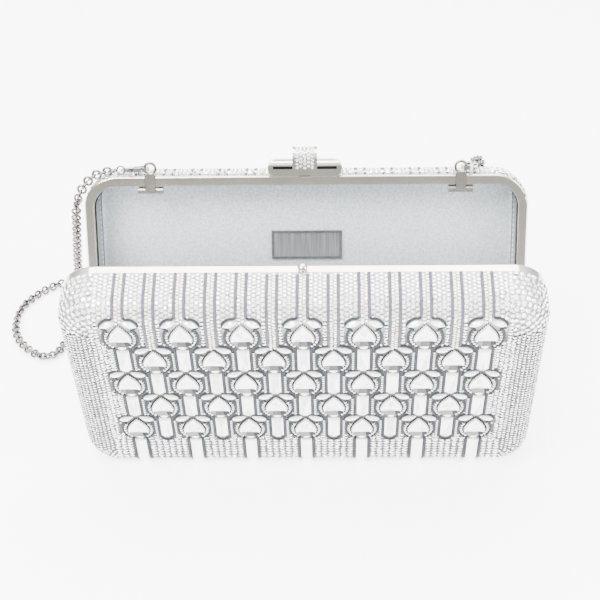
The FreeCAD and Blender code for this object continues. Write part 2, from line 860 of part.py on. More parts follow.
def route_path(points):
    """Straight runs joined by tangent arcs, each as large as its runs allow; prints the least radius."""
    spots = [V(*p) for p in points]
    edges = []
    radii = []
    start = spots[0]
    for a, b, c in zip(spots, spots[1:], spots[2:]):
        back = (a - b).normalize()
        ahead = (c - b).normalize()
        half_turn = (math.pi - back.getAngle(ahead)) / 2.0
        reach = 0.45 * min((a - b).Length, (c - b).Length)
        radius = reach / math.tan(half_turn)
        radii.append(radius)
        p = b + back * reach
        q = b + ahead * reach
        middle = (back + ahead).normalize()
        depth = radius / math.cos(half_turn) - radius
        edges.append(Part.makeLine(start, p))
        edges.append(Part.Arc(p, b + middle * depth, q).toShape())
        start = q
    edges.append(Part.makeLine(start, spots[-1]))
    print("chain radii", " ".join("%.1f" % r for r in radii))
    return Part.Wire(edges)


def chain_run(points):
    """Round envelope of one run of the chain."""
    path = route_path(points)
    start = V(*points[0])
    direction = V(*points[1]) - start
    ring = Part.Wire(Part.makeCircle(chain_diameter / 2.0, start, direction))
    tube = path.makePipeShell([ring], True, True)
    section = math.pi * chain_diameter ** 2 / 4.0
    share = tube.Volume / section / path.Length
    print("chain run length %.1f, volume over section times length %.4f" % (path.Length, share))
    return tube


def build():
    """All the nodes of the case in its open stance."""
    nodes = {}
    pan_shell = shell()
    ring = frame()
    tray = lining()
    nodes["rear_shell"] = rear(pan_shell)
    nodes["front_shell"] = front(mirrored(pan_shell))
    nodes["front_frame"] = front(mirrored(ring))
    nodes["rear_lining"] = rear(tray)
    nodes["front_lining"] = front(mirrored(tray))
    nodes["interior_plate"] = rear(interior_plate())
    nodes["rear_hinge_leaf"] = rear(hinge_leaf(0))
    nodes["front_hinge_leaf"] = front(mirrored(hinge_leaf(1)))
    nodes["hinge_pin"] = rear(hinge_pin())
    nodes["lock_stud"] = front(mirrored(lock_stud()))
    nodes["clasp_bar"] = rear(clasp_bar())
    nodes["clasp_rivets"] = rear(clasp_rivets())
    nodes["clasp_slider"] = rear(clasp_slider())
    nodes["slider_stones"] = rear(slider_stones())

    rear_ring = ring
    for x0 in rivet_places():
        rear_ring = rear_ring.cut(rivet_hole(x0, case_height + overrun))
    for name, side in (("left", -1), ("right", 1)):
        x = side * post_spacing / 2.0
        rear_ring = rear_ring.cut(post_notch(x))
        nodes[name + "_chain_post"] = rear(chain_post(x))
        nodes[name + "_post_bracket"] = rear(post_bracket(x))
        nodes[name + "_post_pin"] = rear(post_pin(x))
        nodes[name + "_claw_body"] = rear(hooked(claw_body(), side))
        nodes[name + "_claw_gate"] = rear(hooked(claw_gate(), side))
        nodes[name + "_claw_rivet"] = rear(hooked(claw_rivet(), side))
        nodes[name + "_claw_ring"] = rear(hooked(claw_ring(), side))
    nodes["rear_frame"] = rear(rear_ring)

    for kind, stones in (("drop", drop_stones()), ("leaf", leaf_stones()), ("stem", stem_stones())):
        nodes["front_%s_stones" % kind] = front(stones)
        nodes["rear_%s_stones" % kind] = rear(mirrored(stones))

    nodes["chain_left"] = chain_run(left_route)
    nodes["chain_right"] = chain_run(right_route)
    return nodes


os.makedirs("parts", exist_ok=True)
for node, shape in build().items():
    shape.exportStep("parts/%s.step" % node)
    print(node, "solids", len(shape.Solids), "valid", shape.isValid(), "volume %.1f" % shape.Volume)
print("hinge height %.3f" % hinge_height)
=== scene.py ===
import math
import random

import bpy
from mathutils import Matrix, Vector


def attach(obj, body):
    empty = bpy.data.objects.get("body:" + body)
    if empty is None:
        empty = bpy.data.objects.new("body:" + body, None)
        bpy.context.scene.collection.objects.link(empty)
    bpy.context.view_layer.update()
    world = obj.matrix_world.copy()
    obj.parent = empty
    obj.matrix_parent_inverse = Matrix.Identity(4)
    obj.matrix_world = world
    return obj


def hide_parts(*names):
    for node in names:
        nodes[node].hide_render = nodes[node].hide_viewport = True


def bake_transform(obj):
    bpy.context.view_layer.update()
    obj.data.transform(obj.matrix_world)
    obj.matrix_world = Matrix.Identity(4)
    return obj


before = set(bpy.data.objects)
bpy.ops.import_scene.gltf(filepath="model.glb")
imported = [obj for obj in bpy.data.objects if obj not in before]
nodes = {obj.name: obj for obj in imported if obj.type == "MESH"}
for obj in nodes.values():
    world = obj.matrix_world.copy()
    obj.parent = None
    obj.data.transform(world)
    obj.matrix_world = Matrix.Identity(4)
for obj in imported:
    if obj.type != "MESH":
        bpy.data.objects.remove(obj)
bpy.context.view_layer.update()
dice = random.Random(7)

# Sizes shared with the solids, in millimetres
MM = 0.001
TILT = math.radians(17.7)
CASE_HALF = 95.5
CASE_HEIGHT = 112.0
DEPTH = 24.0
CORNER = 14.5
ROLL = 10.5
FRAME_DEPTH = 4.0
HINGE = ROLL + (DEPTH - ROLL) * math.sin(TILT) - ROLL * math.cos(TILT)
PITCH = 23.65
OUTER_COLUMN = 3 * PITCH
ROW_TOP = 97.8
ROW_STEP = 16.3
ARC = ROLL * math.pi / 2
WALL = DEPTH - ROLL - FRAME_DEPTH
FACE_TOP = CASE_HEIGHT - ROLL
FACE_BOTTOM = ROLL
EDGE_TOP = FACE_TOP + ARC + WALL
EDGE_BOTTOM = FACE_BOTTOM - ARC - WALL
REST_CLEAR = 0.00002
RING_LOW = 113.6
BAR_REACH = 16.0

# Tones: a face's material, counted along its piece's list; on stones the darker tones are painted reflection
# and shade
WHITE, PALE, GREY, DARK, LIGHT = range(5)


def half_matrix(half):
    """From a half's own frame, closed and facing -Y in millimetres, to its place in the open stance."""
    lift = Matrix.Translation((0, 0, HINGE * MM))
    if half == "front":
        return lift @ Matrix.Rotation(TILT, 4, "X") @ Matrix.Scale(MM, 4)
    flip = Matrix.Scale(-1, 4, (0, 1, 0))
    return lift @ Matrix.Rotation(-TILT, 4, "X") @ flip @ Matrix.Scale(MM, 4)


INTO_REAR = half_matrix("rear").inverted()


# Mesh helpers
class Heap:
    """Collects many small solids into one mesh; a face's tone picks its material."""

    def __init__(self):
        self.points = []
        self.faces = []
        self.tones = []

    def add(self, points, faces, tones=None):
        start = len(self.points)
        self.points.extend(points)
        self.faces.extend([tuple(start + i for i in f) for f in faces])
        self.tones.extend(tones or [0] * len(faces))

    def place(self, proto, pos, right, up, out, sx, sy, sz):
        points = [pos + right * (p[0] * sx) + up * (p[1] * sy) + out * (p[2] * sz) for p in proto[0]]
        self.add(points, proto[1], proto[2] if len(proto) > 2 else None)

    def piece(self, name, materials, half=None, smooth=False):
        mesh = bpy.data.meshes.new(name)
        mesh.from_pydata([tuple(p) for p in self.points], [], self.faces)
        if half:
            mesh.transform(half_matrix(half))
            if half == "rear":
                mesh.flip_normals()
            for v in mesh.vertices:
                v.co.z = max(v.co.z, REST_CLEAR)
        if smooth:
            mesh.shade_smooth()
        for mat in materials:
            mesh.materials.append(mat)
        if len(materials) > 1:
            for face, tone in zip(mesh.polygons, self.tones):
                face.material_index = tone
        mesh.update()
        obj = bpy.data.objects.new(name, mesh)
        bpy.context.scene.collection.objects.link(obj)
        return obj


def band(rings, count, start=0, loop=False):
    """Quads between rings of points that follow one another; a loop joins the last ring to the first."""
    faces = []
    for i in range(rings if loop else rings - 1):
        a = start + i * count
        b = start + (i + 1) % rings * count
        faces += [(a + j, a + (j + 1) % count, b + (j + 1) % count, b + j) for j in range(count)]
    return faces


def stone_proto(sides, table, low, high, waist):
    """A cut stone of unit radius: sunk foot, girdle at the waist, sloped crown and flat table."""
    turns = [2 * math.pi * (i + 0.5) / sides for i in range(sides)]
    rings = ((1, low), (1, waist), (table, high))
    points = [(share * math.cos(t), share * math.sin(t), h) for share, h in rings for t in turns]
    faces = band(len(rings), sides)
    faces.append(tuple(range(2 * sides, 3 * sides)))
    faces.append(tuple(reversed(range(sides))))
    return points, faces


def bead_proto(sides, rings):
    """A small dome of unit radius, sunk a little, with painted shade where its foot faces up."""
    sunk = 0.35
    dark_above = 0.35
    turns = [2 * math.pi * i / sides for i in range(sides)]
    points = []
    for k in range(rings):
        a = -sunk + (math.pi / 2 + sunk) * k / rings
        points += [(math.cos(a) * math.cos(t), math.cos(a) * math.sin(t), math.sin(a)) for t in turns]
    points.append((0, 0, 1))
    faces = band(rings, sides)
    last = (rings - 1) * sides
    faces += [(last + i, last + (i + 1) % sides, last + sides) for i in range(sides)]
    faces.append(tuple(reversed(range(sides))))
    # Painted shade: the foot facets that face up take the dark material, standing for the shade in the gaps
    # between beads.
    foot = [math.sin(2 * math.pi * (i + 0.5) / sides) > dark_above for i in range(sides)]
    tones = [int(dark) for dark in foot + foot] + [0] * (len(faces) - 2 * sides)
    return points, faces, tones


def on_face(x, s):
    """Place, right, up and outward directions at a height along the face and round its rolled edges."""
    right = Vector((1, 0, 0))
    if FACE_BOTTOM <= s <= FACE_TOP:
        return Vector((x, -DEPTH, s)), right, Vector((0, 0, 1)), Vector((0, -1, 0))
    start, end, lift = (FACE_TOP, CASE_HEIGHT, 1) if s > FACE_TOP else (FACE_BOTTOM, 0, -1)
    run = abs(s - start)
    if run < ARC:
        a = run / ROLL
        pos = Vector((x, -(DEPTH - ROLL + ROLL * math.cos(a)), start + lift * ROLL * math.sin(a)))
    else:
        a = math.pi / 2
        pos = Vector((x, -(DEPTH - ROLL - (run - ARC)), end))
    up = Vector((0, lift * math.sin(a), math.cos(a)))
    return pos, right, up, Vector((0, -math.cos(a), lift * math.sin(a)))


def section(q):
    """Inset from the outline, depth and lean at a distance from the frame, over the wall and the roll."""
    if q < WALL:
        return 0.0, FRAME_DEPTH + q, 0.0
    if q < WALL + ARC:
        a = (q - WALL) / ROLL
        return ROLL * (1 - math.cos(a)), DEPTH - ROLL + ROLL * math.sin(a), a
    return ROLL + (q - WALL - ARC), DEPTH, math.pi / 2


def on_side(side, z, q):
    """Place and directions on a side wall's straight run."""
    inset, depth, a = section(q)
    pos = Vector((side * (CASE_HALF - inset), -depth, z))
    up = Vector((-side * math.sin(a), -math.cos(a), 0))
    return pos, Vector((0, 0, 1)), up, Vector((side * math.cos(a), -math.sin(a), 0))


def on_corner(side, top, turn, q):
    """Place and directions on a rounded corner, turned from the side wall towards the top or the bottom."""
    inset, depth, a = section(q)
    radius = max(CORNER - inset, 0.0)
    lift = 1 if top else -1
    zc = CASE_HEIGHT - CORNER if top else CORNER
    radial = Vector((side * math.cos(turn), 0, lift * math.sin(turn)))
    pos = Vector((side * (CASE_HALF - CORNER), -depth, zc)) + radial * radius
    out = radial * math.cos(a) + Vector((0, -math.sin(a), 0))
    up = radial * -math.sin(a) + Vector((0, -math.cos(a), 0))
    return pos, out.cross(up), up, out


# Materials
BUMP_DEPTH = 0.0003


def material(
    name, base, other, scale, rough, swing, metallic,
    bump=0.0, bump_scale=2000.0, detail=3.0, stretch=None, **sockets
):
    """A shader whose colour, roughness and fine relief vary with noise in the object's own frame."""
    mat = bpy.data.materials.new(name)
    mat.use_nodes = True
    tree = mat.node_tree
    shader = tree.nodes["Principled BSDF"]
    coord = tree.nodes.new("ShaderNodeTexCoord")
    noise = tree.nodes.new("ShaderNodeTexNoise")
    noise.inputs["Scale"].default_value = scale
    noise.inputs["Detail"].default_value = detail
    tree.links.new(coord.outputs["Object"], noise.inputs["Vector"])
    if stretch:
        mapping = tree.nodes.new("ShaderNodeMapping")
        mapping.inputs["Scale"].default_value = stretch
        tree.links.new(coord.outputs["Object"], mapping.inputs["Vector"])
        tree.links.new(mapping.outputs["Vector"], noise.inputs["Vector"])
    ramp = tree.nodes.new("ShaderNodeValToRGB")
    ramp.color_ramp.elements[0].position = 0.35
    ramp.color_ramp.elements[0].color = (*base, 1)
    ramp.color_ramp.elements[1].position = 0.65
    ramp.color_ramp.elements[1].color = (*other, 1)
    tree.links.new(noise.outputs["Fac"], ramp.inputs["Fac"])
    tree.links.new(ramp.outputs["Color"], shader.inputs["Base Color"])
    span = tree.nodes.new("ShaderNodeMapRange")
    span.inputs["To Min"].default_value = max(rough - swing, 0.0)
    span.inputs["To Max"].default_value = rough + swing
    tree.links.new(noise.outputs["Fac"], span.inputs["Value"])
    tree.links.new(span.outputs["Result"], shader.inputs["Roughness"])
    shader.inputs["Metallic"].default_value = metallic
    if bump:
        fine = tree.nodes.new("ShaderNodeTexNoise")
        fine.inputs["Scale"].default_value = bump_scale
        tree.links.new(coord.outputs["Object"], fine.inputs["Vector"])
        relief = tree.nodes.new("ShaderNodeBump")
        relief.inputs["Strength"].default_value = bump
        relief.inputs["Distance"].default_value = BUMP_DEPTH
        tree.links.new(fine.outputs["Fac"], relief.inputs["Height"])
        tree.links.new(relief.outputs["Normal"], shader.inputs["Normal"])
    for key, value in sockets.items():
        shader.inputs[key.replace("_", " ")].default_value = value
    return mat


nickel = material(
    "nickel", (0.65, 0.615, 0.54), (0.57, 0.535, 0.47),
    scale=60.0, rough=0.12, swing=0.04, metallic=1.0, bump=0.02, bump_scale=900.0,
)
satin = material(
    "satin_nickel", (0.56, 0.54, 0.50), (0.48, 0.46, 0.43),
    scale=90.0, rough=0.28, swing=0.06, metallic=1.0, bump=0.05, bump_scale=2500.0,
)
brushed = material(
    "brushed_plate", (0.41, 0.41, 0.395), (0.25, 0.25, 0.245),
    scale=1500.0, rough=0.34, swing=0.06, metallic=1.0, bump=0.08, bump_scale=4000.0, stretch=(1, 0.05, 0.05),
)
# Darker than the plate: painted shade on its raised edge.
plate_rim_shade = material(
    "plate_rim_shade", (0.21, 0.21, 0.20), (0.16, 0.16, 0.155),
    scale=400.0, rough=0.3, swing=0.05, metallic=1.0, bump=0.05, bump_scale=3000.0,
)
bed = material(
    "stone_bed", (0.40, 0.40, 0.40), (0.28, 0.28, 0.28),
    scale=700.0, rough=0.45, swing=0.08, metallic=0.3, bump=0.15, bump_scale=1500.0,
)
pave = material(
    "pave_stone", (0.97, 0.97, 0.98), (0.92, 0.91, 0.88),
    scale=420.0, rough=0.08, swing=0.03, metallic=0.35,
)
cream = material(
    "cream_stone", (0.96, 0.94, 0.89), (0.91, 0.88, 0.81),
    scale=380.0, rough=0.10, swing=0.03, metallic=0.3,
)
bead = material(
    "bead", (0.94, 0.94, 0.95), (0.84, 0.84, 0.86),
    scale=500.0, rough=0.14, swing=0.04, metallic=0.4,
)
# Lit and shaded copies of one outline colour: the lighter one for the pair lines that run up to the top edge,
# the much darker one, painted shade, for the lines lower on the face and the beads' feet.
line = material(
    "outline", (0.105, 0.103, 0.122), (0.080, 0.078, 0.094),
    scale=350.0, rough=0.48, swing=0.06, metallic=0.0, bump=0.05, bump_scale=3000.0, Specular_IOR_Level=0.1,
)
shaded_line = material(
    "shaded_outline", (0.036, 0.036, 0.044), (0.026, 0.026, 0.032),
    scale=350.0, rough=0.5, swing=0.06, metallic=0.0, bump=0.05, bump_scale=3000.0, Specular_IOR_Level=0.1,
)
# Near black: painted shadow for the dots over the drops' shoulders.
dark = material(
    "drop_gap_shadow", (0.050, 0.044, 0.038), (0.032, 0.028, 0.024),
    scale=900.0, rough=0.5, swing=0.06, metallic=0.0, Specular_IOR_Level=0.2,
)
gem_white = material(
    "gem_white", (0.97, 0.97, 0.99), (0.92, 0.92, 0.95),
    scale=260.0, rough=0.05, swing=0.02, metallic=0.3,
)
# gem_light, gem_pale, gem_grey and gem_dark are ever darker copies of the white stone colour, put on single
# facets as painted reflection and shade.
gem_light = material(
    "gem_light", (0.70, 0.70, 0.71), (0.60, 0.59, 0.57),
    scale=260.0, rough=0.08, swing=0.02, metallic=0.2,
)
gem_pale = material(
    "gem_pale", (0.21, 0.21, 0.20), (0.16, 0.16, 0.16),
    scale=260.0, rough=0.22, swing=0.03, metallic=0.0, Specular_IOR_Level=0.0,
)
gem_grey = material(
    "gem_grey", (0.105, 0.108, 0.104), (0.078, 0.080, 0.080),
    scale=260.0, rough=0.22, swing=0.03, metallic=0.0, Specular_IOR_Level=0.0,
)
gem_dark = material(
    "gem_dark", (0.050, 0.052, 0.056), (0.036, 0.038, 0.042),
    scale=260.0, rough=0.22, swing=0.03, metallic=0.0, Specular_IOR_Level=0.0,
)
leather = material(
    "lining_leather", (0.92, 0.97, 1.0), (0.66, 0.71, 0.75),
    scale=1000.0, rough=0.42, swing=0.06, metallic=0.3, bump=0.5, bump_scale=1600.0, detail=2.0,
)
strip_leather = material(
    "strip_leather", (0.35, 0.38, 0.40), (0.28, 0.305, 0.32),
    scale=14.0, rough=0.45, swing=0.06, metallic=0.2, bump=0.5, bump_scale=1600.0, detail=9.0,
)
thread = material(
    "stitch_thread", (0.86, 0.88, 0.90), (0.76, 0.78, 0.81),
    scale=900.0, rough=0.6, swing=0.05, metallic=0.0,
)
silver = material(
    "chain_silver", (0.21, 0.205, 0.195), (0.14, 0.136, 0.13),
    scale=120.0, rough=0.16, swing=0.03, metallic=1.0, bump=0.02, bump_scale=900.0,
)
ring_nickel = material(
    "ring_nickel", (0.19, 0.18, 0.16), (0.15, 0.14, 0.125),
    scale=60.0, rough=0.3, swing=0.04, metallic=1.0, bump=0.02, bump_scale=900.0,
)
post_nickel = material(
    "post_nickel", (0.43, 0.41, 0.37), (0.36, 0.345, 0.31),
    scale=60.0, rough=0.24, swing=0.04, metallic=1.0, bump=0.02, bump_scale=900.0,
)
claw_silver = material(
    "claw_silver", (0.52, 0.52, 0.51), (0.44, 0.44, 0.43),
    scale=120.0, rough=0.12, swing=0.03, metallic=1.0, bump=0.02, bump_scale=900.0,
)
# Near black: painted shadow for the gap between the frame and the lining.
edge = material(
    "frame_gap_shadow", (0.060, 0.056, 0.050), (0.040, 0.037, 0.033),
    scale=300.0, rough=0.6, swing=0.05, metallic=0.0, Specular_IOR_Level=0.1,
)
# A darker ring at the seam between strip and back panel: the seam is real, its darkness is painted shade of
# the groove.
seam_groove_shade = material(
    "lining_seam_groove_shade", (0.20, 0.215, 0.225), (0.15, 0.16, 0.17),
    scale=500.0, rough=0.6, swing=0.05, metallic=0.0,
)
slot_shade = material(
    "slot_shade", (0.020, 0.019, 0.017), (0.012, 0.011, 0.010),
    scale=300.0, rough=0.5, swing=0.06, metallic=0.5,
)


def darken_below(mat, low, high, share):
    """Scales a material's colour down to a share of itself between two heights in metres."""
    tree = mat.node_tree
    shader = tree.nodes["Principled BSDF"]
    colour = shader.inputs["Base Color"].links[0].from_socket
    coord = tree.nodes.new("ShaderNodeTexCoord")
    split = tree.nodes.new("ShaderNodeSeparateXYZ")
    tree.links.new(coord.outputs["Object"], split.inputs["Vector"])
    span = tree.nodes.new("ShaderNodeMapRange")
    for key, value in (("From Min", low), ("From Max", high), ("To Min", share), ("To Max", 1.0)):
        span.inputs[key].default_value = value
    tree.links.new(split.outputs["Z"], span.inputs["Value"])
    scale = tree.nodes.new("ShaderNodeVectorMath")
    scale.operation = "SCALE"
    tree.links.new(colour, scale.inputs["Vector"])
    tree.links.new(span.outputs["Result"], scale.inputs["Scale"])
    tree.links.new(scale.outputs["Vector"], shader.inputs["Base Color"])


# Painted light and shade: the stone bed keeps its grey only near the case's top and is coloured far darker
# lower down, so the gaps between the stones read as shade.
darken_below(bed, low=0.088, high=0.099, share=0.14)
# Painted light and shade: the lining's leather is coloured near white to offset the frame's shadow at its
# top, and darker towards its bottom.
darken_below(leather, low=0.062, high=0.088, share=0.58)


def dress(names, mat):
    """Gives solids that stay in view a material."""
    for name in names:
        nodes[name].data.materials.clear()
        nodes[name].data.materials.append(mat)


dress(["front_frame", "rear_frame", "clasp_bar", "clasp_slider", "lock_stud"], nickel)
dress(["left_chain_post", "right_chain_post"], post_nickel)
dress([s + k for s in ("left", "right") for k in ("_claw_body", "_claw_gate", "_claw_rivet")], claw_silver)
dress(["left_claw_ring", "right_claw_ring"], silver)
dress(["front_hinge_leaf", "rear_hinge_leaf", "hinge_pin", "clasp_rivets"], satin)
dress([s + k for s in ("left", "right") for k in ("_post_bracket", "_post_pin")], post_nickel)
dress(["interior_plate"], brushed)
dress(["front_shell", "rear_shell"], bed)


def shade_slots():
    """The bar's slots are coloured near black: painted shade in the gaps."""
    slot_half = 13.6
    slot_low, slot_high = 115.85, 117.15
    slot_depths = ((3.25, 4.68), (-2.98, -1.55))
    mesh = nodes["clasp_bar"].data
    mesh.materials.append(slot_shade)
    for face in mesh.polygons:
        spot = INTO_REAR @ face.center
        level = abs(spot.x) < slot_half and slot_low < spot.z < slot_high
        if level and any(near < spot.y < far for near, far in slot_depths):
            face.material_index = 1


shade_slots()


def shade_rings():
    """The posts' rings are coloured greyer than their straps."""
    for name in ("left_chain_post", "right_chain_post"):
        mesh = nodes[name].data
        mesh.materials.append(ring_nickel)
        for face in mesh.polygons:
            spot = INTO_REAR @ (nodes[name].matrix_world @ face.center)
            if spot.z > RING_LOW:
                face.material_index = 1


shade_rings()


# Chain: the route's points as a smooth line, and round links along it
LEFT_ROUTE = [
    (-81.2, 35.9, 113.5), (-88.2, 35.8, 112.7), (-93.9, 34.9, 109.0), (-98.2, 33.6, 102.2),
    (-100.2, 34.6, 93.6), (-101.8, 40.0, 82.6), (-104.6, 48.5, 66.0), (-108.4, 61.5, 42.0),
    (-110.8, 77.5, 21.0), (-110.6, 90.0, 9.5), (-112.0, 101.0, 3.9), (-116.0, 109.5, 2.1),
    (-121.5, 114.4, 2.1), (-127.5, 114.6, 2.1), (-133.1, 110.4, 2.1), (-137.7, 105.7, 2.1),
    (-141.4, 100.4, 2.1), (-144.4, 94.7, 2.1), (-146.0, 88.5, 2.1), (-146.4, 82.1, 2.1),
    (-145.8, 75.3, 2.1), (-144.2, 68.6, 2.1), (-140.8, 62.0, 2.1), (-136.0, 56.2, 2.1),
    (-131.2, 52.2, 2.1), (-126.8, 50.8, 2.1), (-123.2, 52.2, 2.1), (-120.7, 55.7, 2.1),
    (-119.2, 61.4, 2.1), (-117.6, 68.4, 2.1), (-114.5, 76.0, 2.1), (-109.0, 84.0, 2.1),
    (-101.5, 91.4, 2.1), (-88.5, 96.3, 2.1), (-70.0, 93.5, 2.1), (-52.0, 85.2, 2.1),
    (-32.0, 82.6, 2.1),
]
RIGHT_ROUTE = [
    (73.1, 47.08, 110.5), (74.74, 51.38, 109.13), (76.24, 54.87, 106.53), (77.51, 57.39, 102.89),
    (78.44, 58.67, 98.57), (79.3, 58.75, 90.2), (80.0, 58.5, 72.0), (80.5, 58.4, 46.0),
    (80.4, 59.4, 26.0), (79.6, 62.6, 13.4), (76.6, 68.2, 5.8), (70.4, 75.4, 2.1),
    (59.0, 82.8, 2.1), (41.0, 87.2, 2.1), (18.0, 84.6, 2.1), (-6.0, 79.22, 2.1),
    (-32.0, 82.6, 2.1),
]
LINK_RADIUS = 1.75
LINK_WIRE = 0.55
LINK_STEP = 2.42
LINK_LEAN = 22.0
LINK_SWAY = 0.12
LINK_CLEAR = 0.05


def route_line(points):
    """Points along the smooth line of a route, in metres."""
    curve = bpy.data.curves.new("route", "CURVE")
    curve.dimensions = "3D"
    curve.resolution_u = 24
    spline = curve.splines.new("NURBS")
    spline.points.add(len(points) - 1)
    for spot, p in zip(spline.points, points):
        spot.co = (p[0] * MM, p[1] * MM, p[2] * MM, 1)
    spline.order_u = 3
    spline.use_endpoint_u = True
    obj = bpy.data.objects.new("route", curve)
    bpy.context.scene.collection.objects.link(obj)
    bpy.context.view_layer.update()
    mesh = bpy.data.meshes.new_from_object(obj.evaluated_get(bpy.context.evaluated_depsgraph_get()))
    line_points = [v.co.copy() for v in mesh.vertices]
    bpy.data.objects.remove(obj)
    bpy.data.curves.remove(curve)
    bpy.data.meshes.remove(mesh)
    return line_points


def spaced(points, step):
    """Evenly spaced places and directions along a line, with its length."""
    total = sum((b - a).length for a, b in zip(points, points[1:]))
    count = max(int(round(total / step)), 1)
    spots = []
    walked = 0.0
    k = 0
    for a, b in zip(points, points[1:]):
        run = (b - a).length
        while k < count and (k + 0.5) * total / count <= walked + run:
            share = ((k + 0.5) * total / count - walked) / run
            spots.append((a.lerp(b, share), (b - a).normalized()))
            k += 1
        walked += run
    return spots, total


def link_proto(turns=18, sides=7):
    """A round link in the plane of its first two axes, of the link's own sizes in millimetres."""
    points = []
    faces = []
    for i in range(turns):
        a = 2 * math.pi * i / turns
        for j in range(sides):
            b = 2 * math.pi * j / sides
            r = LINK_RADIUS + LINK_WIRE * math.cos(b)
            points.append((r * math.cos(a), r * math.sin(a), LINK_WIRE * math.sin(b)))
    for i in range(turns):
        for j in range(sides):
            i2 = (i + 1) % turns
            j2 = (j + 1) % sides
            faces.append((i * sides + j, i2 * sides + j, i2 * sides + j2, i * sides + j2))
    return points, faces


def chain(name, points, node):
    """Rolo chain: round links, every second one turned a quarter."""
    rest = LINK_RADIUS + LINK_WIRE + LINK_CLEAR
    route = route_line([(x, y, max(z, rest)) for x, y, z in points])
    spots, total = spaced(route, LINK_STEP * MM)
    heap = Heap()
    proto = link_proto()
    for k, (pos, along) in enumerate(spots):
        side = along.cross(Vector((0, 0, 1)))
        if side.length < 0.2:
            side = along.cross(Vector((0, 1, 0)))
        side.normalize()
        turn = math.radians(LINK_LEAN + 90 * (k % 2)) + dice.uniform(-LINK_SWAY, LINK_SWAY)
        up = Matrix.Rotation(turn, 3, along) @ side
        heap.place(proto, pos, along, up, along.cross(up), MM, MM, MM)
    obj = heap.piece(name, [silver], smooth=True)
    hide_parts(node)
    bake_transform(obj)


chain("chain_links_left", LEFT_ROUTE, "chain_left")
chain("chain_links_right", RIGHT_ROUTE, "chain_right")


# Ornament: where the drops stand, and the outlines round each one, as half outlines in millimetres
def motifs():
    """Each drop's place on the face and its row, in rows set half a pitch apart."""
    for row in range(5):
        count = 7 - row % 2
        for i in range(count):
            yield (i - (count - 1) / 2) * PITCH, ROW_TOP - row * ROW_STEP, row


MOTIFS = list(motifs())
PAIR_MOTIFS = [motif for motif in MOTIFS if motif[2] < 2]
MOTIF_REACH = 9.5
MOTIF_RISE = 12
PAIR_START = 6
STEM_COLUMNS = [k * PITCH / 2 for k in range(-6, 7)]
STEM_LINE = 3.0
PAIR_LINE = 1.95
DROP_HALF = [
    (0, 6.4), (1.15, 5.35), (2.25, 4.0), (3.25, 2.4), (4.05, 0.5),
    (4.5, -1.4), (4.3, -3.1), (3.5, -4.7), (2.0, -6.0),
]
HOOK = [
    (2.0, 9.7), (2.9, 9.1), (4.6, 9.0), (6.1, 8.2), (7.15, 7.1),
    (7.3, 6.1), (6.6, 5.0), (5.6, 4.1), (4.7, 3.4),
]
CRESCENT = [
    (4.8, 3.3), (5.4, 3.55), (6.1, 2.6), (6.6, 0.8), (6.75, -1.5),
    (6.5, -3.8), (5.7, -5.9), (4.7, -7.0), (3.9, -7.4),
]
PETALS = [(4.75, 2.3), (5.35, 1.0), (5.6, -0.6), (5.55, -2.2), (5.15, -3.75), (4.45, -5.2), (3.45, -6.4)]


def footprint(row):
    """The right half of what a drop with its leaves and stem covers, from the top down."""
    points = [(0.0, 9.9)] + HOOK[:7] + CRESCENT[2:] + [(STEM_LINE, -8.6)]
    if row == 4:
        return points + [(STEM_LINE, -60.0), (0.0, -60.0)]
    if row == 3:
        return points + [(STEM_LINE, -21.8), (2.4, -24.6), (0.0, -26.8)]
    return points + [(STEM_LINE, -23.8), (0.0, -23.8)]


FOOTPRINTS = [footprint(row) for row in range(5)]


def edge_distance(x, z, points):
    """Distance from a place to a run of straight edges."""
    best = 99.0
    for (x0, z0), (x1, z1) in zip(points, points[1:]):
        dx, dz = x1 - x0, z1 - z0
        t = ((x - x0) * dx + (z - z0) * dz) / (dx * dx + dz * dz)
        t = min(max(t, 0.0), 1.0)
        best = min(best, math.hypot(x - x0 - t * dx, z - z0 - t * dz))
    return best


def inside(x, z, points):
    """Whether a place on the right of the axis lies within a half outline."""
    within = False
    closed = points + [points[0]]
    for (x0, z0), (x1, z1) in zip(closed, closed[1:]):
        if (z0 > z) != (z1 > z) and x < x0 + (z - z0) / (z1 - z0) * (x1 - x0):
            within = not within
    return within


def blocked(x, s, margin, own=None):
    """Whether a small stone here would lie on the ornament."""
    for motif in MOTIFS:
        mx, mz, row = motif
        dx = abs(x - mx)
        dz = s - mz
        if motif == own or dx > MOTIF_REACH or dz > MOTIF_RISE:
            continue
        if inside(dx, dz, FOOTPRINTS[row]) or edge_distance(dx, dz, FOOTPRINTS[row]) < margin:
            return True
    return any(abs(x - mx) < PAIR_LINE + margin and s > mz + PAIR_START for mx, mz, row in PAIR_MOTIFS)


STONE_FOOT = -0.35


def cut_proto(rings, tones, peak=None):
    """A faceted stone from counter-clockwise rings of places, each at a height; tones mark its last band."""
    n = len(rings[0][0])
    points = [(x, z, h) for ring, h in rings for x, z in ring]
    faces = [tuple(reversed(range(n)))] + band(len(rings), n)
    marks = [WHITE] * (len(faces) - n) + tones
    top = (len(rings) - 1) * n
    if peak:
        points.append(peak)
        faces += [(top + i, top + (i + 1) % n, top + n) for i in range(n)]
        marks += [WHITE] * n
    else:
        faces.append(tuple(range(top, top + n)))
        marks.append(WHITE)
    return points, faces, marks


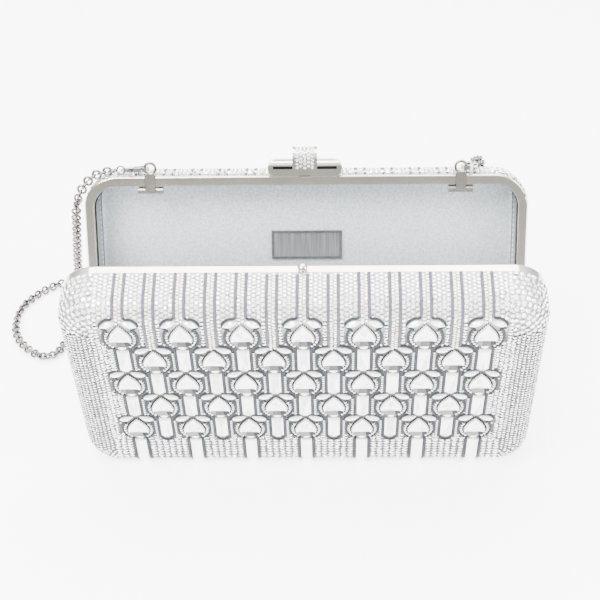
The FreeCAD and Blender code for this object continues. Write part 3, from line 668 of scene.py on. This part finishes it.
def drop_proto(shaded_middle):
    """Pear-cut drop: white upper facets and grey ones at its foot, painted reflection and shade, the right
    ones darkest; the middle one darker when the argument asks for it.
    """
    left = [(-x, z) for x, z in DROP_HALF[1:]]
    outline = left + DROP_HALF[:0:-1] + DROP_HALF[:1]
    step = [(x * 0.94, z * 0.95) for x, z in outline]
    table = [(x * 0.74, max(z * 0.76 + 0.4, -1.7)) for x, z in outline]
    tones = []
    for i, (x, z) in enumerate(outline):
        x1, z1 = outline[(i + 1) % len(outline)]
        mid = (x + x1) / 2
        # Painted reflection and shade: facets low on the drop are grey, darker on the right than on the left.
        if (z + z1) / 2 > -3.4:
            tones.append(WHITE)
        elif abs(mid) < 1:
            tones.append(GREY if shaded_middle else PALE)
        else:
            tones.append(PALE if mid < 0 else DARK)
    rings = [(outline, STONE_FOOT), (outline, 0.5), (step, 1.35), (table, 1.7)]
    return cut_proto(rings, tones, peak=(0.0, 0.6, 1.95))


def leaf_proto(side):
    """Navette leaf that leans out and down."""
    slope = math.radians(20)
    c = math.cos(slope)
    s = math.sin(slope)
    half_length = 3.15
    half_width = 1.38
    sides = 12
    outline = []
    for i in range(sides):
        a = 2 * math.pi * i / sides
        u = half_length * math.cos(a)
        w = half_width * math.sin(a) * (0.35 + 0.65 * abs(math.sin(a)))
        outline.append((u, w))
    table = [(u * 0.6, w * 0.52) for u, w in outline]
    turned = []
    for ring in (outline, table):
        ring = [(u * c + w * s, w * c - u * s) for u, w in ring]
        turned.append(ring if side > 0 else [(-x, z) for x, z in reversed(ring)])
    # Painted reflection and shade: the facets along the leaf's lower side are grey.
    tones = [PALE if z < -1.2 else WHITE for x, z in turned[0]]
    return cut_proto([(turned[0], STONE_FOOT), (turned[0], 0.4), (turned[1], 1.15)], tones)


def stem_proto(length, tip):
    """Long baguette stem, its foot drawn in to a tip."""
    w = 2.35
    outline = [(-w, 0), (-w, 1.6 - length), (-tip, -length), (tip, -length), (w, 1.6 - length), (w, 0)]
    inner = 1.5
    table = [
        (-inner, -0.8), (-inner, 2.4 - length), (-tip * 0.6, 1.5 - length), (tip * 0.6, 1.5 - length),
        (inner, 2.4 - length), (inner, -0.8),
    ]
    # Painted reflection and shade: the facets at the foot are grey, the lower right one darkest.
    tones = [WHITE, PALE, PALE, DARK, WHITE, WHITE]
    rings = [(outline, STONE_FOOT), (outline, 0.5), (table, 1.2)]
    return cut_proto(rings, tones, peak=(0.0, -length / 2, 1.32))


PAVE = stone_proto(sides=8, table=0.6, low=-0.25, high=0.55, waist=0.15)
SQUARE = stone_proto(sides=8, table=0.66, low=-0.25, high=0.6, waist=0.2)
BEAD = bead_proto(sides=10, rings=4)
# A small dark dome that stands for painted shadow in a gap between stones.
SHADOW_DOT = bead_proto(sides=6, rings=2)


def lay(heap, place, size, height=0.8, jitter=0.1, proto=PAVE, tall=1.0, turned=True, shade=GREY):
    """Sets one small stone, leaned and perhaps turned; its facet tones are painted reflection and shade:
    walls grey, a few facets pale at random, and facets that face up darker at random but no darker than the
    shade.
    """
    sides = (len(proto[1]) - 2) // 2
    pos, right, up, out = place
    lean = Vector([dice.uniform(-jitter, jitter) for axis in range(3)])
    out = (out + lean).normalized()
    right = (right - out * right.dot(out)).normalized()
    up = out.cross(right)
    turn = dice.uniform(0, math.pi) if turned else 0.0
    c = math.cos(turn)
    s = math.sin(turn)
    right, up = right * c + up * s, up * c - right * s
    # Painted reflection and shade on the stone's walls and facets.
    tones = [GREY] * sides + [WHITE] * (sides + 2)
    for i in range(sides):
        a = 2 * math.pi * (i + 1) / sides
        upward = right.z * math.cos(a) + up.z * math.sin(a)
        if upward > 0.5:
            tones[sides + i] = min(dice.choice((WHITE, PALE, GREY, GREY)), shade)
        elif dice.random() < 0.1:
            tones[sides + i] = PALE
    heap.place((*proto, tones), pos, right, up, out, size / 2, size * tall / 2, height)


FOOT_LINE = ROW_TOP - 4 * ROW_STEP - 9.4


def face_stones():
    """Small stones packed between the outlines, and upright columns of them along the foot of the face."""
    heap = Heap()
    line_gap = 3.3
    inner_pitch, inner_size = 1.742, 1.72
    outer_size = 1.9
    filler_size = 1.05
    clear, tight = 1.15, 0.75
    step = 1.84
    columns = []
    for x in STEM_COLUMNS[:-1]:
        columns += [(x + line_gap + inner_pitch * j, inner_size) for j in range(4)]
    for side in (-1, 1):
        columns += [(side * (OUTER_COLUMN + line_gap + outer_size * j), outer_size) for j in range(5)]
    for n, (x, size) in enumerate(columns):
        s = FOOT_LINE + (n % 2) * step / 2
        while s < EDGE_TOP - 0.7:
            if abs(x) > CASE_HALF - CORNER and s > CASE_HEIGHT - CORNER:
                break
            if not blocked(x, s, clear):
                place = on_face(x + dice.uniform(-0.08, 0.08), s)
                # Painted light: stones over the top edge get paler facets than those on the face.
                lay(heap, place, size * dice.uniform(0.94, 1.04), shade=PALE if s > FACE_TOP + 4 else GREY)
            elif not blocked(x, s, tight):
                lay(heap, on_face(x, s), filler_size, height=0.7)
            s += step
    foot = []
    foot_gap = STEM_LINE + 0.6
    foot_size, foot_step = 2.5, 2.0
    outer_pitch = 2.65
    for k in range(6):
        start = (k - 3) * PITCH + foot_gap
        foot += [start + (j + 0.5) * (PITCH - 2 * foot_gap) / 6 for j in range(6)]
    for side in (-1, 1):
        foot += [side * (OUTER_COLUMN + foot_gap + 1.36 + outer_pitch * j) for j in range(3)]
    for x in foot:
        s = FOOT_LINE - 1.2
        while s > EDGE_BOTTOM + 0.9:
            if not blocked(x, s, 1.0):
                lay(
                    heap, on_face(x, s), foot_size, height=0.9, jitter=0.06,
                    proto=SQUARE, tall=0.78, turned=False, shade=PALE,
                )
            s -= foot_step
    return heap


def column_stones():
    """The cream column inside each pair of lines, and a cap stone under each drop."""
    heap = Heap()
    size = 1.46
    stagger = 0.36
    cap_size = 3.3
    below = 7.7
    for k, x in enumerate(STEM_COLUMNS):
        s = ROW_TOP - k % 2 * ROW_STEP + 7.9
        while s < EDGE_TOP - 1.0:
            for side in (-1, 1):
                place = on_face(x + side * size / 2, s + side * stagger)
                lay(heap, place, size, height=0.7, jitter=0.12, shade=PALE)
            s += size
    for x, z, row in MOTIFS:
        lay(heap, on_face(x, z - below), cap_size, jitter=0.03, proto=SQUARE, tall=0.85, turned=False)
    return heap


def corner_ring(heap, side, top, n, q, pitch, small, large, height=0.8, shade=GREY):
    """One ring of stones round a corner, every second ring shifted."""
    count = int((CORNER - section(q)[0]) * math.pi / 2 / pitch)
    for i in range(count):
        turn = (i + 0.5 + 0.3 * (n % 2)) / count * math.pi / 2
        lay(heap, on_corner(side, top, turn, q), dice.uniform(small, large), height=height, shade=shade)


def side_stones():
    """Small stones in rings on the side walls with dark dots of painted shadow in the gaps between them,
    larger stones on the top corners.
    """
    heap = Heap()
    shadow_dot = (SHADOW_DOT[0], SHADOW_DOT[1], [GREY] * len(SHADOW_DOT[1]))
    shadow_dot_size = (0.5, 0.48, 0.46)
    step = 1.76
    top_step = 2.26
    for side in (-1, 1):
        for n in range(17):
            q = 0.95 + step * n
            if section(q)[0] > CORNER - 0.6:
                continue
            z = CORNER + step / 2 * (n % 2)
            while z < CASE_HEIGHT - CORNER and n < 16:
                lay(heap, on_side(side, z, q), dice.uniform(1.34, 1.46))
                heap.place(shadow_dot, *on_side(side, z + step / 2, q), *shadow_dot_size)
                z += step
            corner_ring(heap, side, False, n, q, pitch=1.8, small=1.5, large=1.66)
        for n in range(13):
            q = 1.2 + top_step * n
            corner_ring(heap, side, True, n, q, pitch=2.3, small=2.06, large=2.2, height=0.9, shade=PALE)
    return heap


def beads():
    """Bead crescents beside the drops and bead columns beside the stems."""
    heap = Heap()
    petal_size = (0.66, 0.6, 0.95)
    bead_size = (0.58, 0.56, 0.9)
    stem_gap = 4.12
    step = 1.5
    for motif in MOTIFS:
        x, z, row = motif
        for side in (-1, 1):
            for px, pz in PETALS:
                heap.place(BEAD, *on_face(x + side * px, z + pz), *petal_size)
            low = FOOT_LINE if row > 2 else z - 23.4
            bx = x + side * stem_gap
            s = z - 8.6
            while s > low:
                if not blocked(bx, s, 0.95, motif):
                    heap.place(BEAD, *on_face(bx, s), *bead_size)
                s -= step
    return heap


def glint(proto, facets, share):
    """A copy of a stone with some of its last facets a little darker, as painted reflections."""
    points, faces, tones = proto
    tones = tones[:-facets] + [LIGHT if dice.random() < share else WHITE for k in range(facets)]
    return points, faces, tones


def drops():
    """Pear drops, the middle foot facet painted a darker shade in all of the upper two rows and in some
    below.
    """
    heap = Heap()
    pale_middle = drop_proto(False)
    shaded_middle = drop_proto(True)
    crown = 2 * len(DROP_HALF) - 1
    for x, z, row in MOTIFS:
        proto = shaded_middle if row < 2 or dice.random() < 0.45 else pale_middle
        heap.place(glint(proto, crown, 0.3), *on_face(x, z), 1, 1, 1)
    return heap


def leaves():
    """Two navette leaves over each drop."""
    heap = Heap()
    pair = {side: leaf_proto(side) for side in (-1, 1)}
    aside = 4.35
    above = 6.7
    for x, z, row in MOTIFS:
        for side in (-1, 1):
            heap.place(pair[side], *on_face(x + side * aside, z + above), 1, 1, 1)
    return heap


def stems():
    """Stems below the drops; in the last row they run on round the bottom edge."""
    heap = Heap()
    tall = stem_proto(14.6, 1.5)
    crown = 6
    below = 9.3
    for x, z, row in MOTIFS:
        top = z - below
        if row == 4:
            run = [(x, top - k * (top - EDGE_BOTTOM - 0.8) / 24) for k in range(25)]
            ridge(heap, run, width=4.6, height=1.2, profile=BAGUETTE)
        else:
            heap.place(glint(tall, crown, 0.45), *on_face(x, top), 1, 1, 1)
    return heap


def spline(a, b, c, d, t):
    """The smooth value at a share of the way from b to c, between neighbours a and d."""
    bend = 2 * a - 5 * b + 4 * c - d
    twist = 3 * b - a - 3 * c + d
    return 0.5 * (2 * b + (c - a) * t + bend * t * t + twist * t ** 3)


def smooth_run(points, steps=5):
    """A rounder run through given places."""
    out = []
    n = len(points)
    for i in range(n - 1):
        p0 = points[max(i - 1, 0)]
        p1 = points[i]
        p2 = points[i + 1]
        p3 = points[min(i + 2, n - 1)]
        for k in range(steps):
            out.append(tuple(spline(a, b, c, d, k / steps) for a, b, c, d in zip(p0, p1, p2, p3)))
    out.append(points[-1])
    return out


ROUND_BACK = [(-0.5, -0.3), (-0.5, 0.25), (-0.25, 0.85), (0.25, 0.85), (0.5, 0.25), (0.5, -0.3)]
BAGUETTE = [(-0.5, -0.3), (-0.5, 0.4), (-0.32, 1.0), (0.32, 1.0), (0.5, 0.4), (0.5, -0.3)]


def ridge(heap, run, width, height, profile=ROUND_BACK, tone=0):
    """A raised line along places on the face."""
    points = []
    count = len(profile)
    for i, (x, s) in enumerate(run):
        a = run[max(i - 1, 0)]
        b = run[min(i + 1, len(run) - 1)]
        dx, ds = b[0] - a[0], b[1] - a[1]
        size = math.hypot(dx, ds) or 1.0
        pos, right, up, out = on_face(x, s)
        across = right * (-ds / size) + up * (dx / size)
        points += [pos + across * (w * width) + out * (h * height) for w, h in profile]
    faces = band(len(run), count)
    faces.append(tuple(reversed(range(count))))
    last = (len(run) - 1) * count
    faces.append(tuple(range(last, last + count)))
    heap.add(points, faces, [tone] * len(faces))


STEM_TAIL = [(3.2, -7.6), (3.05, -11), (3.0, -17)]
POINTED_TAIL = STEM_TAIL + [(3.0, -21.8), (2.4, -24.5), (1.2, -26.1), (0.0, -26.6)]
OPEN_TAIL = STEM_TAIL + [(3.0, -21.5), (2.7, -23.6)]


def outlines():
    """Raised lines: pairs from the top edge, round each leaf and crescent, and down beside each stem."""
    heap = Heap()
    for x, z, row in MOTIFS:
        under_bar = abs(x) < BAR_REACH
        for side in (-1, 1):
            # Lines round the leaves, crescents and stems take tone 1, the painted-shade copy of the outline
            # colour.
            for half_line, width, height in ((HOOK, 1.05, 0.6), (CRESCENT, 1.0, 0.55)):
                run = smooth_run([(x + side * a, z + b) for a, b in half_line])
                ridge(heap, run, width, height, tone=1)
            if row == 4:
                low = EDGE_BOTTOM + 0.6
                run = [(x + side * STEM_LINE, z - 7.6 - k * (z - 7.6 - low) / 14) for k in range(15)]
            else:
                tail = POINTED_TAIL if row == 3 else OPEN_TAIL
                run = smooth_run([(x + side * a, z + b) for a, b in tail])
            ridge(heap, run, width=1.25, height=0.6, tone=1)
            if row < 2:
                high = EDGE_TOP - (1.3 if under_bar else 0.3)
                top = [(x + side * PAIR_LINE, high - k * (high - z - 9.4) / 14) for k in range(15)]
                ridge(heap, top, width=1.12, height=0.46 if under_bar else 0.6)
    return heap


def drop_edges():
    """Fine dark dots over each drop's shoulders: painted shadow of the gap round the drop."""
    heap = Heap()
    size = (0.27, 0.27, 0.95)
    half = [(a * 1.06, b * 1.05) for a, b in DROP_HALF[:6]]
    arch = [(-a, b) for a, b in reversed(half[1:])] + half
    for x, z, row in MOTIFS:
        run = [Vector((x + a, z + b, 0)) for a, b in smooth_run(arch, 3)]
        for spot, along in spaced(run, 1.0)[0]:
            heap.place(SHADOW_DOT, *on_face(spot.x, spot.y), *size)
    return heap


def settings():
    """All that is set on a face: name, shape, materials, slot, smoothness and the solids it stands for."""
    gems = [gem_white, gem_pale, gem_grey, gem_dark, gem_light]
    return (
        ("face_stones", face_stones(), [pave, gem_pale, gem_dark], "drop_stone", False, None),
        ("column_stones", column_stones(), [cream, gem_pale, gem_grey], "stem_stone", False, None),
        ("side_stones", side_stones(), [pave, gem_pale, gem_dark], "drop_stone", False, None),
        ("beads", beads(), [bead, shaded_line], "drop_stone", True, None),
        ("drops", drops(), gems, "drop_stone", False, "drop_stones"),
        ("leaves", leaves(), gems, "leaf_stone", False, "leaf_stones"),
        ("stems", stems(), gems, "stem_stone", False, "stem_stones"),
        ("outlines", outlines(), [line, shaded_line], "case", True, None),
        ("drop_edges", drop_edges(), [dark, dark], "case", True, None),
    )


SETTINGS = settings()
for half in ("front", "rear"):
    for name, heap, mats, slot, smooth, stands_for in SETTINGS:
        obj = heap.piece(half + "_" + name, mats, half, smooth)
        if stands_for:
            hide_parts(half + "_" + stands_for)
        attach(obj, half + "_half")


def rear_border():
    """A row of taller stones along the rear frame, with a larger one at every fifth place."""
    heap = Heap()
    bar_end = 14
    for k in range(-34, 35):
        x = k * PITCH / 10
        if abs(x) > bar_end:
            size = 2.8 if k % 5 == 0 else dice.uniform(1.95, 2.15)
            lay(heap, on_face(x, EDGE_TOP - 1.35), size, height=1.1 + 0.5 * size, jitter=0.08)
    obj = heap.piece("rear_border", [pave, gem_pale, gem_light], "rear")
    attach(obj, "rear_half")


rear_border()


def slider_pave():
    """Fine stones in the slider's bed, up its front and over its top."""
    heap = Heap()
    bed_radius = 4.55
    middle = 0.85
    spring = 119.85
    straight = 3.95
    pitch, size = 1.62, 1.56
    for column in range(5):
        run = 0.85 + size / 2 * (column % 2)
        while run < straight + math.pi * bed_radius - 0.8:
            a = max(run - straight, 0.0) / bed_radius
            z = spring - straight + min(run, straight) + bed_radius * math.sin(a)
            pos = Vector(((column - 2) * pitch, middle + bed_radius * math.cos(a), z))
            up = Vector((0, -math.sin(a), math.cos(a)))
            out = Vector((0, math.cos(a), math.sin(a)))
            lay(heap, (pos, Vector((-1, 0, 0)), up, out), size, jitter=0.12)
            run += size
    obj = heap.piece("slider_pave", [pave, gem_pale, gem_grey], "rear")
    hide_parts("slider_stones")
    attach(obj, "clasp_slider")


slider_pave()


# Lining: a leather tray with a back panel, a side strip and stitching
def tray_ring(inset, depth, count=14):
    """A closed loop of the case's outline at an inset and a depth."""
    half = CASE_HALF - inset
    radius = max(CORNER - inset, 1.0)
    z0 = inset
    z1 = CASE_HEIGHT - inset
    loop = []
    for cx, cz, start in (
        (half - radius, z1 - radius, 0), (-half + radius, z1 - radius, 90),
        (-half + radius, z0 + radius, 180), (half - radius, z0 + radius, 270),
    ):
        for k in range(count + 1):
            a = math.radians(start + 90 * k / count)
            loop.append(Vector((cx + radius * math.cos(a), -depth, cz + radius * math.sin(a))))
    return loop


def lining_piece(half):
    """The tray's leather, from the frame's back down the side strip and round a roll to the back panel."""
    side = 3.3
    back = 21.5
    roll = 3.4
    thickness = 0.25
    strip_rings = 8
    deep_start = 6
    profile = [(2.6, 4.35), (side - 0.1, 4.6), (side, 6.0), (side + 0.05, 9.0), (side, back - roll)]
    for k in range(1, 8):
        a = math.pi / 2 * k / 8
        profile.append((side + roll * (1 - math.cos(a)), back - roll + roll * math.sin(a)))
    panel_start = len(profile)
    profile += [(side + roll + k, back) for k in (0.9, 4, 9, 16, 26, 36)]
    outer = []
    for k, (inset, depth) in enumerate(profile):
        wider = thickness if k < panel_start else 0
        deeper = thickness if k >= deep_start else 0
        outer.append((inset - wider, depth + deeper))
    heap = Heap()
    for stack, inward in ((profile, True), (outer, False)):
        start = len(heap.points)
        for inset, depth in stack:
            loop = tray_ring(inset, depth)
            heap.points.extend(loop)
        count = len(loop)
        faces = band(len(stack), count, start)
        last = start + (len(stack) - 1) * count
        faces.append(tuple(range(last, last + count)))
        heap.faces += faces if inward else [tuple(reversed(f)) for f in faces]
        heap.tones += [1] * (strip_rings * count) + [0] * (len(faces) - strip_rings * count)
    size = len(profile) * count
    for j in range(count):
        k = (j + 1) % count
        heap.faces.append((j, size + j, size + k, k))
        heap.tones.append(1)
    obj = heap.piece(half + "_lining_leather", [leather, strip_leather], half, smooth=True)
    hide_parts(half + "_lining")
    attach(obj, half + "_half")


def stitch_proto(sides=6, rings=3):
    """One raised stitch of unit half-length."""
    points = []
    faces = []
    count = 2 * rings + 1
    for i in range(count):
        u = -1 + 2 * i / (count - 1)
        r = math.sqrt(max(1 - u * u, 0.04))
        for j in range(sides):
            b = 2 * math.pi * j / sides
            points.append((u, r * math.cos(b), r * math.sin(b)))
    for i in range(count - 1):
        for j in range(sides):
            k = (j + 1) % sides
            faces.append((i * sides + j, (i + 1) * sides + j, (i + 1) * sides + k, i * sides + k))
    faces.append(tuple(range(sides)))
    faces.append(tuple(reversed(range((count - 1) * sides, count * sides))))
    return points, faces


def stitches(half):
    """Stitches along the strip beside the back panel's seam, and round the mouth of the tray."""
    heap = Heap()
    proto = stitch_proto()
    size = (0.8, 0.24, 0.24)
    for inset, depth in ((3.75, 19.6), (3.25, 6.6)):
        loop = tray_ring(inset, depth, 40)
        loop.append(loop[0])
        for pos, along in spaced(loop, 2.3)[0]:
            away = Vector((-pos.x, 0, CASE_HEIGHT / 2 - pos.z)).normalized()
            across = away.cross(along).normalized()
            heap.place(proto, pos, along, across, along.cross(across), *size)
    obj = heap.piece(half + "_stitches", [thread], half, smooth=True)
    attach(obj, half + "_half")


def seam(half):
    """A dark strip behind the frame's inner edge, painted shadow of the gap between frame and lining, and a
    darker ring at the seam between strip and back panel, painted shade of the seam's groove.
    """
    heap = Heap()
    for tone, near, far, top, low in ((0, 3.8, 4.6, 4.06, 4.4), (1, 4.1, 4.5, 20.25, 20.65)):
        points = []
        for inset, depth in ((near, top), (far, top), (far, low), (near, low)):
            points += tray_ring(inset, depth)
        faces = band(4, len(points) // 4, loop=True)
        heap.add(points, faces, [tone] * len(faces))
    obj = heap.piece(half + "_lining_edge", [edge, seam_groove_shade], half)
    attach(obj, half + "_half")


def plate_rim():
    """The raised edge of the bare plate, coloured darker as painted shade."""
    spots = [INTO_REAR @ v.co for v in nodes["interior_plate"].data.vertices]
    low = [min(p[i] for p in spots) for i in range(3)]
    high = [max(p[i] for p in spots) for i in range(3)]
    heap = Heap()
    profile = ((0.02, -0.3), (0.02, 0.2), (0.3, 0.45), (0.8, 0.45), (1.15, -0.02), (1.15, -0.3))
    for inset, rise in profile:
        for x, z in ((low[0], low[2]), (high[0], low[2]), (high[0], high[2]), (low[0], high[2])):
            sx = inset if x == low[0] else -inset
            sz = inset if z == low[2] else -inset
            heap.points.append(Vector((x + sx, high[1] + rise, z + sz)))
    heap.faces = band(len(profile), 4, loop=True)
    obj = heap.piece("plate_rim", [plate_rim_shade], "rear")
    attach(obj, "rear_half")


plate_rim()
for half in ("front", "rear"):
    lining_piece(half)
    stitches(half)
    seam(half)


# Floor, light and camera
def floor():
    """A wide white floor."""
    mat = material(
        "floor", (0.95, 0.95, 0.95), (0.94, 0.94, 0.94), scale=2.0, rough=0.85, swing=0.02, metallic=0.0,
        Emission_Color=(1, 1, 1, 1), Emission_Strength=3.0,
    )
    mesh = bpy.data.meshes.new("floor")
    mesh.from_pydata([(-4, -4, 0), (4, -4, 0), (4, 4, 0), (-4, 4, 0)], [], [(0, 1, 2, 3)])
    mesh.materials.append(mat)
    obj = bpy.data.objects.new("floor", mesh)
    bpy.context.scene.collection.objects.link(obj)


def lamp(name, place, aim, size, power):
    """A soft rectangular light."""
    light = bpy.data.lights.new(name, "AREA")
    light.shape = "RECTANGLE"
    light.size = size[0]
    light.size_y = size[1]
    light.energy = power
    obj = bpy.data.objects.new(name, light)
    obj.location = place
    obj.rotation_mode = "QUATERNION"
    obj.rotation_quaternion = (Vector(aim) - Vector(place)).to_track_quat("-Z", "Y")
    bpy.context.scene.collection.objects.link(obj)


floor()
lamp("key", place=(-0.5, -0.6, 1.1), aim=(0, 0, 0.06), size=(0.7, 0.7), power=45)
lamp("fill", place=(0.9, -0.5, 0.7), aim=(0, 0, 0.06), size=(0.6, 0.6), power=14)
lamp("top", place=(0.0, 0.3, 1.3), aim=(0, 0, 0.0), size=(1.2, 0.9), power=45)


def studio():
    """Soft light from above and from the front that falls off towards the horizon."""
    world = bpy.data.worlds.new("studio")
    world.use_nodes = True
    tree = world.node_tree
    coord = tree.nodes.new("ShaderNodeTexCoord")
    split = tree.nodes.new("ShaderNodeSeparateXYZ")
    tree.links.new(coord.outputs["Generated"], split.inputs["Vector"])
    shares = []
    for axis, low, high, dim, bright in (("Z", 0.3, 0.85, 0.2, 2.3), ("Y", 0.6, -0.5, 1.5, 0.72)):
        span = tree.nodes.new("ShaderNodeMapRange")
        span.interpolation_type = "SMOOTHSTEP"
        span.inputs["From Min"].default_value = low
        span.inputs["From Max"].default_value = high
        span.inputs["To Min"].default_value = dim
        span.inputs["To Max"].default_value = bright
        tree.links.new(split.outputs[axis], span.inputs["Value"])
        shares.append(span)
    both = tree.nodes.new("ShaderNodeMath")
    tree.links.new(shares[0].outputs["Result"], both.inputs[0])
    tree.links.new(shares[1].outputs["Result"], both.inputs[1])
    tree.links.new(both.outputs["Value"], tree.nodes["Background"].inputs["Strength"])
    tree.nodes["Background"].inputs["Color"].default_value = (1, 1, 1, 1)
    bpy.context.scene.world = world


studio()


def camera():
    """The camera that took the photograph, as fitted to the case's corners and rows."""
    yaw = math.radians(1.675)
    rise = math.radians(34.93)
    roll = math.radians(-1.224)
    back = Vector((math.sin(yaw) * math.cos(rise), -math.cos(yaw) * math.cos(rise), math.sin(rise)))
    right = Vector((math.cos(yaw), math.sin(yaw), 0))
    up = back.cross(right)
    r = right * math.cos(roll) + up * math.sin(roll)
    u = up * math.cos(roll) - right * math.sin(roll)
    data = bpy.data.cameras.new("camera")
    data.sensor_width = 36
    data.lens = 86.91
    obj = bpy.data.objects.new("camera", data)
    turn = Matrix((r, u, back)).transposed().to_4x4()
    place = Vector((12.09, -502.69, 418.09 + HINGE)) + r * 0.3 - u * 0.85
    obj.matrix_world = Matrix.Translation(place * MM) @ turn
    bpy.context.scene.collection.objects.link(obj)
    bpy.context.scene.camera = obj


camera()
